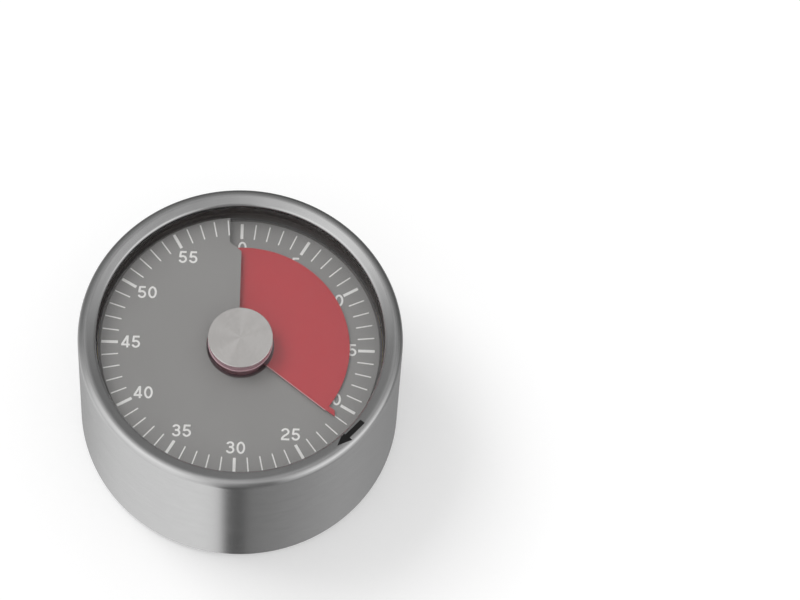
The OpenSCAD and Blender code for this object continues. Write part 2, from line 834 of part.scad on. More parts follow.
module mainspring() {
    color([0.35, 0.38, 0.45])
        translate([0, 0, spring_z])
            linear_extrude(spring_h)
                polygon(spiral_outline(spring_inner_r, spring_outer_r, spring_turns,
                    spring_strip_t, spring_end_dir));
}

module spring_post() {
    color([0.6, 0.6, 0.6])
        translate([spring_post_at[0], spring_post_at[1], rear_top])
            cylinder(h = spring_h + spring_post_over, r = spring_post_r, $fn = 48);
}

// ---- Dial, fixed ----

module dial_carrier() {
    step = 360 / carrier_steps;
    step_lap = 0.5;
    flange_top = front_top + flange_t;
    end_top = dial_z - dial_t + dial_rise * (360 - dial_tuck - step) / 360;
    color([0.2, 0.2, 0.21])
        difference() {
            rotate_extrude()
                polygon([[flange_inner_r, front_top], [carrier_outer_r, front_top],
                    [carrier_outer_r, end_top], [carrier_inner_r, end_top],
                    [carrier_inner_r, flange_top], [flange_inner_r, flange_top]]);
            for (k = [0:carrier_steps - 2])
                let (a = 90 + dial_tuck - step * k, top = dial_z - dial_t + dial_rise * (90 - a) / 360)
                    translate([0, 0, top])
                        linear_extrude(dial_rise + over)
                            polygon([[0, 0], polar(housing_d, a - step), polar(housing_d, a + step_lap)]);
            bores(carrier_screw_places, carrier_screw_r + touch, front_top - over, flange_t + 2 * over);
            bores(pillar_places, screw_head_r + head_gap, front_top - over, flange_t + 2 * over);
        }
}

module carrier_screws() {
    color([0.55, 0.55, 0.55])
        for (p = carrier_screw_places)
            screw(p, front_top + flange_t, carrier_screw_r, flange_t + plate_t - carrier_tip_gap,
                carrier_screw_head_r, carrier_screw_head_h);
}

// Distance that the dial's end stands back from the 0 line at radius r
function flap_edge(r) =
    let (share = max(0, min(1, (r - slant_r) / flap_slant_w)))
    flap_gap + (flap_cut - flap_gap) * share;

module dial() {
    radii = [dial_hole_r, (dial_hole_r + slant_r) / 2, slant_r, step_r, (step_r + dial_r) / 2, dial_r];
    grid = [for (k = [0:dial_steps]) [for (r = radii)
        let (end = 360 - asin(flap_edge(r) / r))
        [r, -dial_tuck + (end + dial_tuck) * k / dial_steps]]];
    color([0.55, 0.545, 0.535])
        helical_sheet(grid, dial_z - dial_t, dial_t);
}

// ---- Turned by hand ----

module housing_cup() {
    foot_bend = [housing_r - bottom_bend_r, housing_bottom + bottom_bend_r];
    color([0.72, 0.71, 0.70])
        rotate_extrude($fn = 180)
            polygon(concat(
                arc(foot_bend, bottom_bend_r, -90, 0),
                arc(lip_bend, lip_bend_r, 0, lip_normal),
                arc(lip_tip, lip_tip_bend_r, lip_normal, 180, 8),
                [[lip_inner_r, lip_tip_z], [lip_inner_r + sheet_t, lip_tip_z]],
                arc(lip_tip, lip_tip_bend_r - sheet_t, 180, lip_normal, 4),
                arc(lip_bend, lip_bend_r - sheet_t, lip_normal, 0),
                arc(foot_bend, bottom_bend_r - sheet_t, 0, -90, 6)));
}

module lens_gasket() {
    color([0.2, 0.2, 0.21])
        translate([0, 0, lens_top])
            tube(ring_outer_r, gasket_inner_r, gasket_h);
}

module lens() {
    color([0.85, 0.9, 0.92, 0.3])
        translate([0, 0, lens_z])
            tube(ring_outer_r, boss_neck_r + seat_play, lens_t);
}

module lens_seat() {
    color([0.3, 0.3, 0.31])
        translate([0, 0, lens_z - lens_seat_h])
            tube(ring_outer_r, lens_seat_inner_r, lens_seat_h);
}

module hub_cap() {
    bore = boss_neck_r + seat_play;
    color([0.67, 0.66, 0.64])
        rotate_extrude()
            polygon(concat(
                [[0, hub_cap_top - hub_cap_roof], [bore, hub_cap_top - hub_cap_roof],
                    [bore, lens_top], [hub_cap_r, lens_top]],
                arc([hub_cap_r - hub_cap_round, hub_cap_top - hub_cap_round], hub_cap_round, 0, 90, 6),
                [[0, hub_cap_top]]));
}

module hub_boss() {
    neck_top = hub_cap_top - hub_cap_roof - seat_play;
    bottom = front_top + boss_foot_gap;
    web_z = lens_z - boss_web;
    color([0.3, 0.3, 0.31])
        difference() {
            union() {
                translate([0, 0, bottom])
                    cylinder(h = lens_z - bottom, r = boss_r);
                translate([0, 0, bottom])
                    cylinder(h = neck_top - bottom, r = boss_neck_r);
            }
            translate([0, 0, bottom - over])
                cylinder(h = web_z - bottom + over, r = arbor_r + touch, $fn = 48);
            translate([0, 0, bottom])
                cylinder(h = neck_top - bottom, r = hub_screw_r + seat_play, $fn = 48);
            translate([0, 0, lens_z])
                cylinder(h = neck_top, r = hub_screw_head_r + seat_play, $fn = 48);
        }
}

module hub_screw() {
    color([0.5, 0.5, 0.5])
        screw([0, 0], lens_z, hub_screw_r, boss_web + hub_screw_bite, hub_screw_head_r, hub_screw_head_h);
}

module main_arbor() {
    color([0.62, 0.62, 0.65])
        difference() {
            translate([0, 0, rear_z])
                cylinder(h = lens_z - boss_web - rear_z, r = arbor_r, $fn = 48);
            translate([0, 0, lens_z - boss_web - hub_bore_l])
                cylinder(h = hub_bore_l + over, r = hub_screw_r + touch, $fn = 48);
        }
}

module ratchet_wheel() {
    color([0.5, 0.5, 0.52])
        translate([0, 0, ratchet_z])
            difference() {
                linear_extrude(ratchet_t)
                    polygon(ratchet_outline(ratchet_teeth, ratchet_r, ratchet_r - ratchet_tooth_h));
                translate([0, 0, -over])
                    cylinder(h = ratchet_t + 2 * over, r = arbor_r + touch, $fn = 48);
            }
}

module great_wheel() {
    color([0.8, 0.68, 0.36])
        difference() {
            spoked_wheel([0, 0], great_z, great_teeth, coarse_module, great_phase, great_t,
                arbor_r + touch, 0);
            bores([click_at, polar(click_spring_r, click_spring_to)], click_stud_r + touch,
                great_z - over, great_t + 2 * over);
            bores([for (a = great_window_angles) polar(great_window_ring_r, a)], great_window_r,
                great_z - over, great_t + 2 * over);
        }
}

module click() {
    nose = polar(ratchet_r + click_nose_gap, click_nose_dir);
    color([0.5, 0.5, 0.52])
        difference() {
            bar(nose, click_at, click_w, ratchet_z, ratchet_t - click_play);
            bores([click_at], click_stud_r / 2 + touch, ratchet_z - over, ratchet_t + 2 * over);
        }
}

module click_spring() {
    a = click_spring_from;
    b = click_spring_to - click_spring_short;
    color([0.4, 0.42, 0.48])
        translate([0, 0, ratchet_z])
            linear_extrude(ratchet_t - click_play)
                polygon(concat(arc([0, 0], click_spring_r, a, b, 24),
                    arc([0, 0], click_spring_r + click_spring_t, b, a, 24)));
}

module click_studs() {
    color([0.7, 0.7, 0.7]) {
        translate([click_at[0], click_at[1], ratchet_z])
            union() {
                cylinder(h = great_z - ratchet_z + great_t, r = click_stud_r / 2, $fn = 48);
                translate([0, 0, great_z - ratchet_z])
                    cylinder(h = great_t, r = click_stud_r, $fn = 48);
            }
        rotate(click_spring_to)
            translate([click_spring_r, 0, ratchet_z])
                cylinder(h = great_z - ratchet_z + great_t, r = click_stud_r, $fn = 48);
    }
}

module release_cam() {
    notch_dir = nose_dir - set_angle;
    color([0.75, 0.62, 0.35])
        translate([0, 0, cam_z])
            difference() {
                cylinder(h = cam_t, r = cam_r);
                translate([0, 0, -over])
                    cylinder(h = cam_t + 2 * over, r = arbor_r + touch, $fn = 48);
                translate([0, 0, -over])
                    linear_extrude(cam_t + 2 * over)
                        polygon([polar(cam_r + over, notch_dir - notch_ramp),
                            polar(cam_r - cam_notch, notch_dir - notch_ramp_foot),
                            polar(cam_r - cam_notch, notch_dir + notch_foot),
                            polar(cam_r + over, notch_dir + notch_wall)]);
            }
}

// ---- Red disc, carried round by the boss and lifted by the dial ----

module red_disc() {
    tab_end = tab_lead + tab_angle;
    edge_span = disc_span - tab_end - 2 * tab_ramp;
    outline = concat(
        [for (k = [0:dial_steps]) [disc_span - edge_span * k / dial_steps, disc_r]],
        [[tab_end + tab_ramp, tab_r], [tab_lead, tab_r], [tab_lead - tab_ramp, disc_r], [0, disc_r]]);
    inner = collar_outer_r + touch;
    grid = [for (p = outline) let (a = set_angle - p[0])
        [[inner, a], [(inner + disc_r) / 2, a], [p[1], a]]];
    color([0.70, 0.33, 0.35])
        helical_sheet(grid, dial_z + disc_gap, disc_t);
}

module disc_collar() {
    low = dial_z + disc_gap + dial_rise * (set_angle - disc_span) / 360 - collar_over;
    high = dial_z + disc_gap + disc_t + dial_rise * set_angle / 360 + collar_over;
    color([0.55, 0.2, 0.23])
        translate([0, 0, low])
            tube(collar_outer_r, collar_inner_r, high - low);
}

// ---- Wheel train ----

module second_pinion() {
    color([0.66, 0.66, 0.68])
        pinion(second_at, great_z, great_t, coarse_pinion_teeth, coarse_module,
            mesh_phase(coarse_pinion_teeth, great_teeth, great_phase, second_dir));
}

module second_wheel() {
    color([0.8, 0.68, 0.36])
        spoked_wheel(second_at, second_z, second_teeth, fine_module, second_phase, wheel_t,
            thin_arbor_r, 5);
}

module third_pinion() {
    color([0.66, 0.66, 0.68])
        pinion(third_at, second_z, wheel_t, fine_pinion_teeth, fine_module,
            mesh_phase(fine_pinion_teeth, second_teeth, second_phase, third_dir));
}

module third_wheel() {
    color([0.8, 0.68, 0.36])
        spoked_wheel(third_at, third_z, third_teeth, fine_module, third_phase, wheel_t,
            thin_arbor_r, 4);
}

module escape_pinion() {
    color([0.66, 0.66, 0.68])
        pinion(escape_at, third_z, wheel_t, fine_pinion_teeth, fine_module,
            mesh_phase(fine_pinion_teeth, third_teeth, third_phase, escape_dir));
}

module escape_wheel() {
    color([0.8, 0.68, 0.36])
        translate([escape_at[0], escape_at[1], escape_z])
            difference() {
                linear_extrude(escape_t)
                    polygon(star_outline(escape_teeth, escape_r, escape_r - escape_tooth_h,
                        escape_tip_w, escape_phase));
                translate([0, 0, -over])
                    cylinder(h = escape_t + 2 * over, r = thin_arbor_r, $fn = 48);
                bores([for (i = [0:4]) polar(escape_window_ring_r, 72 * i)], escape_window_r,
                    -over, escape_t + 2 * over);
            }
}

module strike_pinion() {
    color([0.66, 0.66, 0.68])
        pinion(strike_at, great_z, great_t, coarse_pinion_teeth, coarse_module,
            mesh_phase(coarse_pinion_teeth, great_teeth, great_phase, strike_dir));
}

module strike_star() {
    color([0.75, 0.62, 0.35])
        translate([strike_at[0], strike_at[1], second_z])
            difference() {
                linear_extrude(wheel_t)
                    polygon(star_outline(star_points, star_r, star_r - star_tooth_h, star_tip_w,
                        star_phase));
                translate([0, 0, -over])
                    cylinder(h = wheel_t + 2 * over, r = thin_arbor_r, $fn = 48);
            }
}

// ---- Anchor ----

module anchor() {
    color([0.7, 0.7, 0.72])
        difference() {
            union() {
                for (p = anchor_pins_at)
                    bar(anchor_at, p, anchor_arm_w, anchor_z, lever_t);
                bar(anchor_at, weight_at, anchor_stem_w, anchor_z, lever_t);
            }
            bores([anchor_at], thin_arbor_r, anchor_z - over, lever_t + 2 * over);
            bores(anchor_pins_at, anchor_pin_r, anchor_z - over, lever_t + 2 * over);
        }
}

module anchor_pins() {
    color([0.6, 0.6, 0.62])
        for (p = anchor_pins_at)
            translate([p[0], p[1], anchor_z])
                cylinder(h = escape_z + escape_t + anchor_pin_over - anchor_z, r = anchor_pin_r, $fn = 48);
}

module anchor_weight() {
    color([0.8, 0.68, 0.36])
        translate([weight_at[0], weight_at[1], anchor_z - weight_h])
            cylinder(h = weight_h, r = weight_r, $fn = 48);
}

module anchor_arbor() {
    color([0.66, 0.66, 0.68])
        thin_arbor(anchor_at);
}

// ---- Hammer ----

module hammer_arbor() {
    color([0.66, 0.66, 0.68])
        thin_arbor(hammer_at, hammer_arm_z - arbor_stub);
}

module hammer_arm() {
    color([0.6, 0.6, 0.62])
        difference() {
            bar(hammer_at, hammer_head_at, hammer_arm_w, hammer_arm_z, hammer_arm_t);
            bores([hammer_at], pivot_r, hammer_arm_z - over, hammer_arm_t + 2 * over);
        }
}

module hammer_head() {
    color([0.75, 0.6, 0.3])
        translate([hammer_head_at[0], hammer_head_at[1], hammer_head_z])
            cylinder(h = hammer_head_h, r = hammer_head_r, $fn = 48);
}

module hammer_tail() {
    color([0.6, 0.6, 0.62])
        difference() {
            union() {
                bar(hammer_at, hammer_at + polar(tail_l, tail_dir), tail_w, second_z, wheel_t);
                translate([hammer_at[0], hammer_at[1], second_z])
                    cylinder(h = wheel_t, r = thin_arbor_r + tail_eye_wall, $fn = 48);
            }
            bores([hammer_at], thin_arbor_r, second_z - over, wheel_t + 2 * over);
        }
}

module hammer_spring() {
    tip = hammer_at + polar(hammer_spring_start, tail_dir)
        - polar(tail_w / 2 + hammer_spring_off, tail_dir + 90);
    color([0.4, 0.42, 0.48])
        wire_spring(tip, tip + polar(hammer_spring_l, tail_dir + hammer_spring_turn), second_z + wire_lift);
}

// ---- Release lever ----

module release_lever() {
    color([0.6, 0.6, 0.62])
        difference() {
            union() {
                bar(release_at, nose_at, 2 * nose_r, lever_z, lever_t);
                bar(release_at, catch_at, lever_w, lever_z, lever_t);
                translate([release_at[0], release_at[1], lever_z])
                    cylinder(h = lever_t, r = release_eye_r, $fn = 48);
            }
            bores([release_at], click_stud_r + pivot_play, lever_z - over, lever_t + 2 * over);
            bores([catch_at], catch_r, lever_z - over, lever_t + 2 * over);
        }
}

module release_stud() {
    color([0.7, 0.7, 0.7])
        translate([release_at[0], release_at[1], 0])
            union() {
                translate([0, 0, cam_z - stud_neck])
                    cylinder(h = front_top - cam_z + stud_neck, r = click_stud_r, $fn = 48);
                translate([0, 0, cam_z - stud_head_drop])
                    cylinder(h = stud_head_h, r = stud_head_r, $fn = 48);
            }
}

module catch_pin() {
    color([0.66, 0.66, 0.68])
        translate([catch_at[0], catch_at[1], second_z - catch_over])
            cylinder(h = lever_z + lever_t - second_z + catch_over, r = catch_r, $fn = 48);
}

module release_spring() {
    arm = catch_at - release_at;
    side = polar(lever_w / 2 + release_spring_off, 90 + atan2(arm[1], arm[0]));
    tip = release_at + arm * release_spring_share + side;
    color([0.4, 0.42, 0.48])
        wire_spring(tip, tip + polar(release_spring_l, release_spring_dir), lever_z + wire_lift);
}

foot_ring();
base_tub();
magnets();
glide_ring();
bell();
bell_post();
bell_screw();
rear_plate();
front_plate();
pillars();
pillar_screws();
movement_screws();
mainspring();
spring_post();
dial_carrier();
carrier_screws();
dial();
housing_cup();
lens_gasket();
lens();
lens_seat();
hub_cap();
hub_boss();
hub_screw();
main_arbor();
ratchet_wheel();
great_wheel();
click();
click_spring();
click_studs();
release_cam();
red_disc();
disc_collar();
second_wheel();
second_pinion();
third_wheel();
third_pinion();
escape_wheel();
escape_pinion();
strike_star();
strike_pinion();
anchor();
anchor_pins();
anchor_weight();
anchor_arbor();
hammer_arbor();
hammer_arm();
hammer_head();
hammer_tail();
hammer_spring();
release_lever();
release_stud();
catch_pin();
release_spring();
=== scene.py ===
# The finish of a wind-up kitchen timer: drawn steel housing, printed grey dial, red film
# disc under a clear lens, brushed hub, and the brass and steel movement inside.
# Lengths are metres. Dial angles run clockwise from the 0 mark (+Y), in degrees.
import json
import math

import bmesh
import bpy
import numpy as np
from mathutils import Matrix, Vector


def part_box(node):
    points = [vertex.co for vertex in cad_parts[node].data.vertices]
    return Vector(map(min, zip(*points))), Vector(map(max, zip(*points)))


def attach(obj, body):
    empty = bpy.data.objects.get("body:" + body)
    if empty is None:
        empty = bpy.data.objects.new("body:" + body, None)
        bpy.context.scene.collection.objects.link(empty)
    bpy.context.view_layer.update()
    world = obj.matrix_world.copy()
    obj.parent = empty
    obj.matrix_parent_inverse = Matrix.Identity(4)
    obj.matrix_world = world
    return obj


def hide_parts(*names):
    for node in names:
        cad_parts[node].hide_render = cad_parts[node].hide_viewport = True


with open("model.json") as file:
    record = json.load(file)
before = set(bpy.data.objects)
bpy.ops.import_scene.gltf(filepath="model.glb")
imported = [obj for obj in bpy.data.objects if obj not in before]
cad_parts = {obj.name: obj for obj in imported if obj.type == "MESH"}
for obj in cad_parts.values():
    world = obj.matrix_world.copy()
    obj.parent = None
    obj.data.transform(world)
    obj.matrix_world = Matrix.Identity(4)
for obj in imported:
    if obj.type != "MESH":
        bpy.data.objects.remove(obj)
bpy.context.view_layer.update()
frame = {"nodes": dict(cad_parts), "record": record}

MM = 0.001
TURN = 2 * math.pi
UP = Vector((0, 0, 1))

# ---- Sizes that the solids give ----

cup_low, cup_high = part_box("housing_cup")
dial_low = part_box("dial")[0]
cap_low, cap_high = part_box("hub_cap")

# Housing: sheet, bottom bend, lip bend, slope of the lip and its curled edge
cup_r = cup_high.x
sheet_t = 0.8 * MM
bottom_bend_r = 1.3 * MM
lip_w = 3.7 * MM
lip_bend_r = 1.45 * MM
lip_slope = 20
lip_tip_r = 0.9 * MM
lip_tip_drop = 0.3 * MM

# Dial: a sheet that climbs once round, its upper end cut back beside the 0 mark
dial_t = 0.3 * MM
dial_rise = 1.9 * MM
dial_tuck = 9
dial_r = 28 * MM
dial_hole_r = 6.8 * MM
dial_zero_z = dial_low.z + dial_t + dial_rise * dial_tuck / 360
flap_cut = 2.85 * MM
flap_gap = 0.4 * MM
flap_slant_w = 2.2 * MM
flap_step = 0.8 * MM

# Red disc, with a tab along its leading edge. The tab's ends are degrees behind that edge.
disc_r = 21.95 * MM
disc_t = 0.25 * MM
disc_gap = 0.3 * MM
disc_inner_r = 5.62 * MM
disc_lead = 127.8
disc_span = 372
tab_r = 24.25 * MM
tab_from = 0.5
tab_to = 3.2
tab_ramp = 0.1
tab_bevel = 0.9 * MM

# Ink: how far it stands over its ground, reaches into it, and over the stroke printed before
ink_t = 0.012 * MM
ink_sink = 0.004 * MM
ink_step = 0.001 * MM

# Minute marks
mark_in_r = 24.1 * MM
mark_out_r = 27.42 * MM
minute_w = 0.26 * MM
five_w = 0.6 * MM
mark_shift = np.array([-0.44, 0.01]) * MM

# Numbers: their ring and height, and their pitch, width and stroke as shares of that height
figure_shift = np.array([-0.27, 0.15]) * MM
figure_ring_r = 21.7 * MM
figure_rise = 0.35 * MM
figure_h = 2.62 * MM
figure_step = 0.8
figure_w = 0.66
stroke_w = 0.155

# Arrow on the lip, at a dial angle
arrow_at = 132.3
arrow_ring_r = 30.2 * MM
arrow_l = 7.25 * MM
arrow_head_l = 2.9 * MM
arrow_head_w = 2.6 * MM
arrow_shaft_w = 1.2 * MM
arrow_point_w = 0.03 * MM

# Dark ring on the red disc round its hole, painted shade under the hub, and a light line along the
# disc's leading edge, a painted highlight of its cut edge
shade_ring_in_r = 5.64 * MM
shade_ring_out_r = 6.78 * MM
highlight_from = 0.01 * MM
highlight_to = 0.12 * MM

# Hub cap: brushed steel face over a steel skirt coloured pink, a painted reflection of the red disc
cap_r = cap_high.x
cap_edge_r = 0.12 * MM
cap_roof = 0.14 * MM
bead_r = 0.12 * MM


# ---- Surfaces ----

def polar(r, angle):
    """x and y at radius r and a dial angle: r sin a, r cos a."""
    a = np.radians(angle)
    return r * np.sin(a), r * np.cos(a)


def arc(centre, radius, start, end, steps=12):
    """Profile points on a circle round centre from angle start to end, with their normals: away
    from the centre where the angle grows, towards it where it falls."""
    a = np.radians(np.linspace(start, end, steps + 1))
    ray = np.stack([np.cos(a), np.sin(a)], 1)
    return np.array(centre) + radius * ray, ray * (1 if end > start else -1)


def line(start, end, steps=1):
    """Profile points along a straight line, with the normal on its right-hand side."""
    start, end = np.array(start, float), np.array(end, float)
    along = (end - start) / np.linalg.norm(end - start)
    t = np.linspace(0, 1, steps + 1)[:, None]
    return start + t * (end - start), np.tile([along[1], -along[0]], (steps + 1, 1))


def grid_quads(rows, cols, ring=False, loop=False):
    """Corner numbers of the quads of a grid of points. A ring joins its last row to its first
    row, and a loop joins its last column to its first column."""
    i, j = np.meshgrid(
        np.arange(rows if ring else rows - 1), np.arange(cols if loop else cols - 1), indexing="ij"
    )
    i, j = i.ravel(), j.ravel()
    k, m = (i + 1) % rows, (j + 1) % cols
    return np.stack([i * cols + j, k * cols + j, k * cols + m, i * cols + m], 1)


def make_piece(name, points, quads, normals=None):
    """A mesh at the origin. Points that coincide become one, a quad that loses a corner becomes a
    triangle, and one that loses its area goes. Each corner keeps its own normal, if it has one."""
    points = np.asarray(points, float)
    rounded = np.round(points * 1e9)
    _, first, where = np.unique(rounded, axis=0, return_index=True, return_inverse=True)
    corners = where.ravel()[quads]
    double = corners == np.roll(corners, -1, axis=1)
    whole, cut = double.sum(1) == 0, double.sum(1) == 1
    keep = ~double[cut]
    faces = corners[whole].tolist() + corners[cut][keep].reshape(-1, 3).tolist()
    mesh = bpy.data.meshes.new(name)
    mesh.from_pydata(points[first].tolist(), [], faces)
    mesh.polygons.foreach_set("use_smooth", np.ones(len(faces), bool))
    if normals is not None:
        normals = np.asarray(normals, float)
        used = np.concatenate([quads[whole].ravel(), quads[cut][keep]])
        mesh.normals_split_custom_set(normals[used].tolist())
    made = bpy.data.objects.new(name, mesh)
    bpy.context.scene.collection.objects.link(made)
    return made


def revolve(name, parts, steps=240, loop=True):
    """Surface of revolution. The profile (r, z), made of arcs and lines walked with the material
    on their left, is carried round the Z axis: x = r cos t, y = r sin t."""
    profile = np.concatenate([p for p, _ in parts])
    normal = np.concatenate([n for _, n in parts])
    t = np.arange(steps)[:, None] * TURN / steps
    level = np.ones((steps, 1))
    spin = np.stack([np.cos(t) * level, np.sin(t) * level], 2)
    points, normals = (
        np.concatenate([spin * row[None, :, :1], level[..., None] * row[None, :, 1:]], 2)
        for row in (profile, normal)
    )
    quads = grid_quads(steps, len(profile), ring=True, loop=loop)
    return make_piece(name, points.reshape(-1, 3), quads, normals.reshape(-1, 3))


def thin_sheets(name, sheets):
    """Closed thin solids, each between a grid of top points and one of bottom points of the same
    shape, joined by a wall round their rims. Faces are turned outwards, and rims stay sharp."""
    points, quads, base = [], [], 0
    for top, bottom in sheets:
        rows, cols = top.shape[:2]
        size = rows * cols
        number = np.arange(size).reshape(rows, cols)
        rim = np.concatenate([number[0, :-1], number[:-1, -1], number[-1, :0:-1], number[:0:-1, 0]])
        after = np.roll(rim, -1)
        face = grid_quads(rows, cols)
        wall = np.stack([rim, after, after + size, rim + size], 1)
        quads.append(np.concatenate([face, face[:, ::-1] + size, wall]) + base)
        points += [top.reshape(-1, 3), bottom.reshape(-1, 3)]
        base += 2 * size
    made = make_piece(name, np.concatenate(points), np.concatenate(quads))
    face_outwards(made.data)
    made.data.set_sharp_from_angle(angle=math.radians(30))
    return made


def face_outwards(mesh):
    """Turns every face of a closed mesh outwards."""
    work = bmesh.new()
    work.from_mesh(mesh)
    bmesh.ops.recalc_face_normals(work, faces=work.faces)
    work.to_mesh(mesh)
    work.free()


def dial_height(angle):
    """Height of the dial's face at a dial angle: it climbs dial_rise in one turn."""
    return dial_zero_z + dial_rise * angle / 360


def on_dial(r, angle, lift):
    """Points at radius r and a dial angle, a lift above the dial's face."""
    x, y = polar(r, angle)
    return np.stack([x, y, dial_height(angle) + lift + 0 * x], -1)


def between(inner, outer, angles, shares):
    """Grids of radius and angle: a row for each angle, its radii shared out from inner to outer."""
    angle, share = np.meshgrid(angles, shares, indexing="ij")
    return inner + (np.reshape(outer, (-1, 1)) - inner) * share, angle


# ---- Housing ----

foot_bend = (cup_r - bottom_bend_r, cup_low.z + bottom_bend_r)
lip_bend = (cup_r - lip_bend_r, cup_high.z - lip_bend_r)
lip_open_r = cup_r - lip_w
lip_turn = 90 + lip_slope
lip_normal = np.array([math.cos(math.radians(lip_turn)), math.sin(math.radians(lip_turn))])
lip_along = np.array([-lip_normal[1], lip_normal[0]])
tip_from = np.array(lip_bend) + (lip_bend_r - lip_tip_r) * lip_normal
tip_bend = tip_from + lip_along * (lip_open_r + lip_tip_r - tip_from[0]) / lip_along[0]
lip_edge_z = tip_bend[1] - lip_tip_drop


def housing_profile():
    """Section of the drawn cup: bottom bend, wall, lip bend, slope, curled edge, back inside."""
    def bends(offset):
        return [
            arc(foot_bend, bottom_bend_r - offset, -90, 0, 8),
            line((cup_r - offset, foot_bend[1]), (cup_r - offset, lip_bend[1]), 8),
            arc(lip_bend, lip_bend_r - offset, 0, lip_turn, 20),
            line(np.array(lip_bend) + (lip_bend_r - offset) * lip_normal,
                 tip_bend + (lip_tip_r - offset) * lip_normal, 2),
            arc(tip_bend, lip_tip_r - offset, lip_turn, 180, 10),
            line((lip_open_r + offset, tip_bend[1]), (lip_open_r + offset, lip_edge_z)),
        ]
    inside = [(points[::-1], -normals[::-1]) for points, normals in bends(sheet_t)[::-1]]
    edge = [line((lip_open_r, lip_edge_z), (lip_open_r + sheet_t, lip_edge_z))]
    return bends(0) + edge + inside


def lip_height(r):
    """Height of the lip's outer face at radius r: the lip bend, the slope, then the curled edge."""
    outer = lip_bend[1] + np.sqrt(np.maximum(lip_bend_r**2 - (r - lip_bend[0]) ** 2, 0))
    inner = tip_bend[1] + np.sqrt(np.maximum(lip_tip_r**2 - (r - tip_bend[0]) ** 2, 0))
    start = np.array(lip_bend) + lip_bend_r * lip_normal
    slope = start[1] + (start[0] - r) * lip_along[1] / -lip_along[0]
    end_r = tip_bend[0] + lip_tip_r * lip_normal[0]
    return np.where(r > start[0], outer, np.where(r < end_r, inner, slope))


def arrow_band(start, end, start_w, end_w, steps):
    """Top and bottom grids of one band of the arrow, straight along the lip at arrow_at. Its width
    goes from start_w to end_w, and its height follows the lip."""
    t, side = np.meshgrid(np.linspace(0, 1, steps + 1), np.linspace(-0.5, 0.5, 9), indexing="ij")
    along = start + (end - start) * t
    out = arrow_ring_r + side * (start_w + (end_w - start_w) * t)
    a = math.radians(arrow_at)
    x = out * math.sin(a) + along * math.cos(a)
    y = out * math.cos(a) - along * math.sin(a)
    z = lip_height(np.hypot(x, y))
    return np.stack([x, y, z + ink_t], 2), np.stack([x, y, z - ink_sink], 2)


housing_shell = revolve("housing_shell", housing_profile())
arrow_neck = arrow_l / 2 - arrow_head_l
lip_arrow = thin_sheets("lip_arrow", [
    arrow_band(-arrow_l / 2, arrow_neck, arrow_shaft_w, arrow_shaft_w, 12),
    arrow_band(arrow_neck, arrow_l / 2, arrow_head_w, arrow_point_w, 12),
])

# ---- Dial ----

step_r = disc_r + flap_step
slant_r = step_r - flap_slant_w


def flap_edge(r):
    """How far the dial's upper end stands back from the 0 line at radius r: the gap, a slant
    beside the red disc's edge, then the full cut."""
    return flap_gap + (flap_cut - flap_gap) * np.clip((r - slant_r) / flap_slant_w, 0, 1)


def dial_sheet():
    """Top and bottom grids of the dial. Radii include both ends of the slant, and at each radius
    the angle runs from under the 0 mark to the flap's edge."""
    radii = np.concatenate([
        np.linspace(dial_hole_r, slant_r, 12), np.linspace(slant_r, step_r, 6)[1:],
        np.linspace(step_r, dial_r, 6)[1:],
    ])
    share, r = np.meshgrid(np.linspace(0, 1, 241), radii, indexing="ij")
    end = 360 - np.degrees(np.arcsin(flap_edge(r) / r))
    angle = -dial_tuck + share * (end + dial_tuck)
    return on_dial(r, angle, 0), on_dial(r, angle, -dial_t)


def printed(xy, shift, near, layer=0):
    """Top and bottom grids of a printed shape near a dial angle. It follows the dial's climb, and
    each printing sits its own small shift off the dial's middle."""
    xy = xy + shift
    turned = np.degrees(np.arctan2(xy[..., 0], xy[..., 1])) - near
    z = dial_height(near + (turned + 180) % 360 - 180)[..., None]
    top = np.concatenate([xy, z + ink_t + layer * ink_step], -1)
    return top, np.concatenate([xy, z - ink_sink], -1)


def mark(minute):
    """Top and bottom grids of one printed mark, a bar along a radius."""
    width = minute_w if minute % 5 else five_w
    r, side = np.meshgrid(np.linspace(mark_in_r, mark_out_r, 2), [-0.5, 0.5], indexing="ij")
    shape = np.stack(polar(r, minute * 6 + np.degrees(side * width / r)), -1)
    return printed(shape, mark_shift, minute * 6)


def bow(centre, reach, start, end, steps=20):
    """Points of a stroke on an ellipse round centre, between two angles in degrees."""
    a = np.radians(np.linspace(start, end, steps + 1))
    return np.array(centre) + np.stack([np.cos(a), np.sin(a)], 1) * reach


def swing(*handles, steps=14):
    """Points of a stroke on a cubic curve with four handles."""
    t = np.linspace(0, 1, steps + 1)[:, None]
    a, b, c, d = np.array(handles, float)
    return (1 - t) ** 3 * a + 3 * t * (1 - t) ** 2 * b + 3 * t**2 * (1 - t) * c + t**3 * d


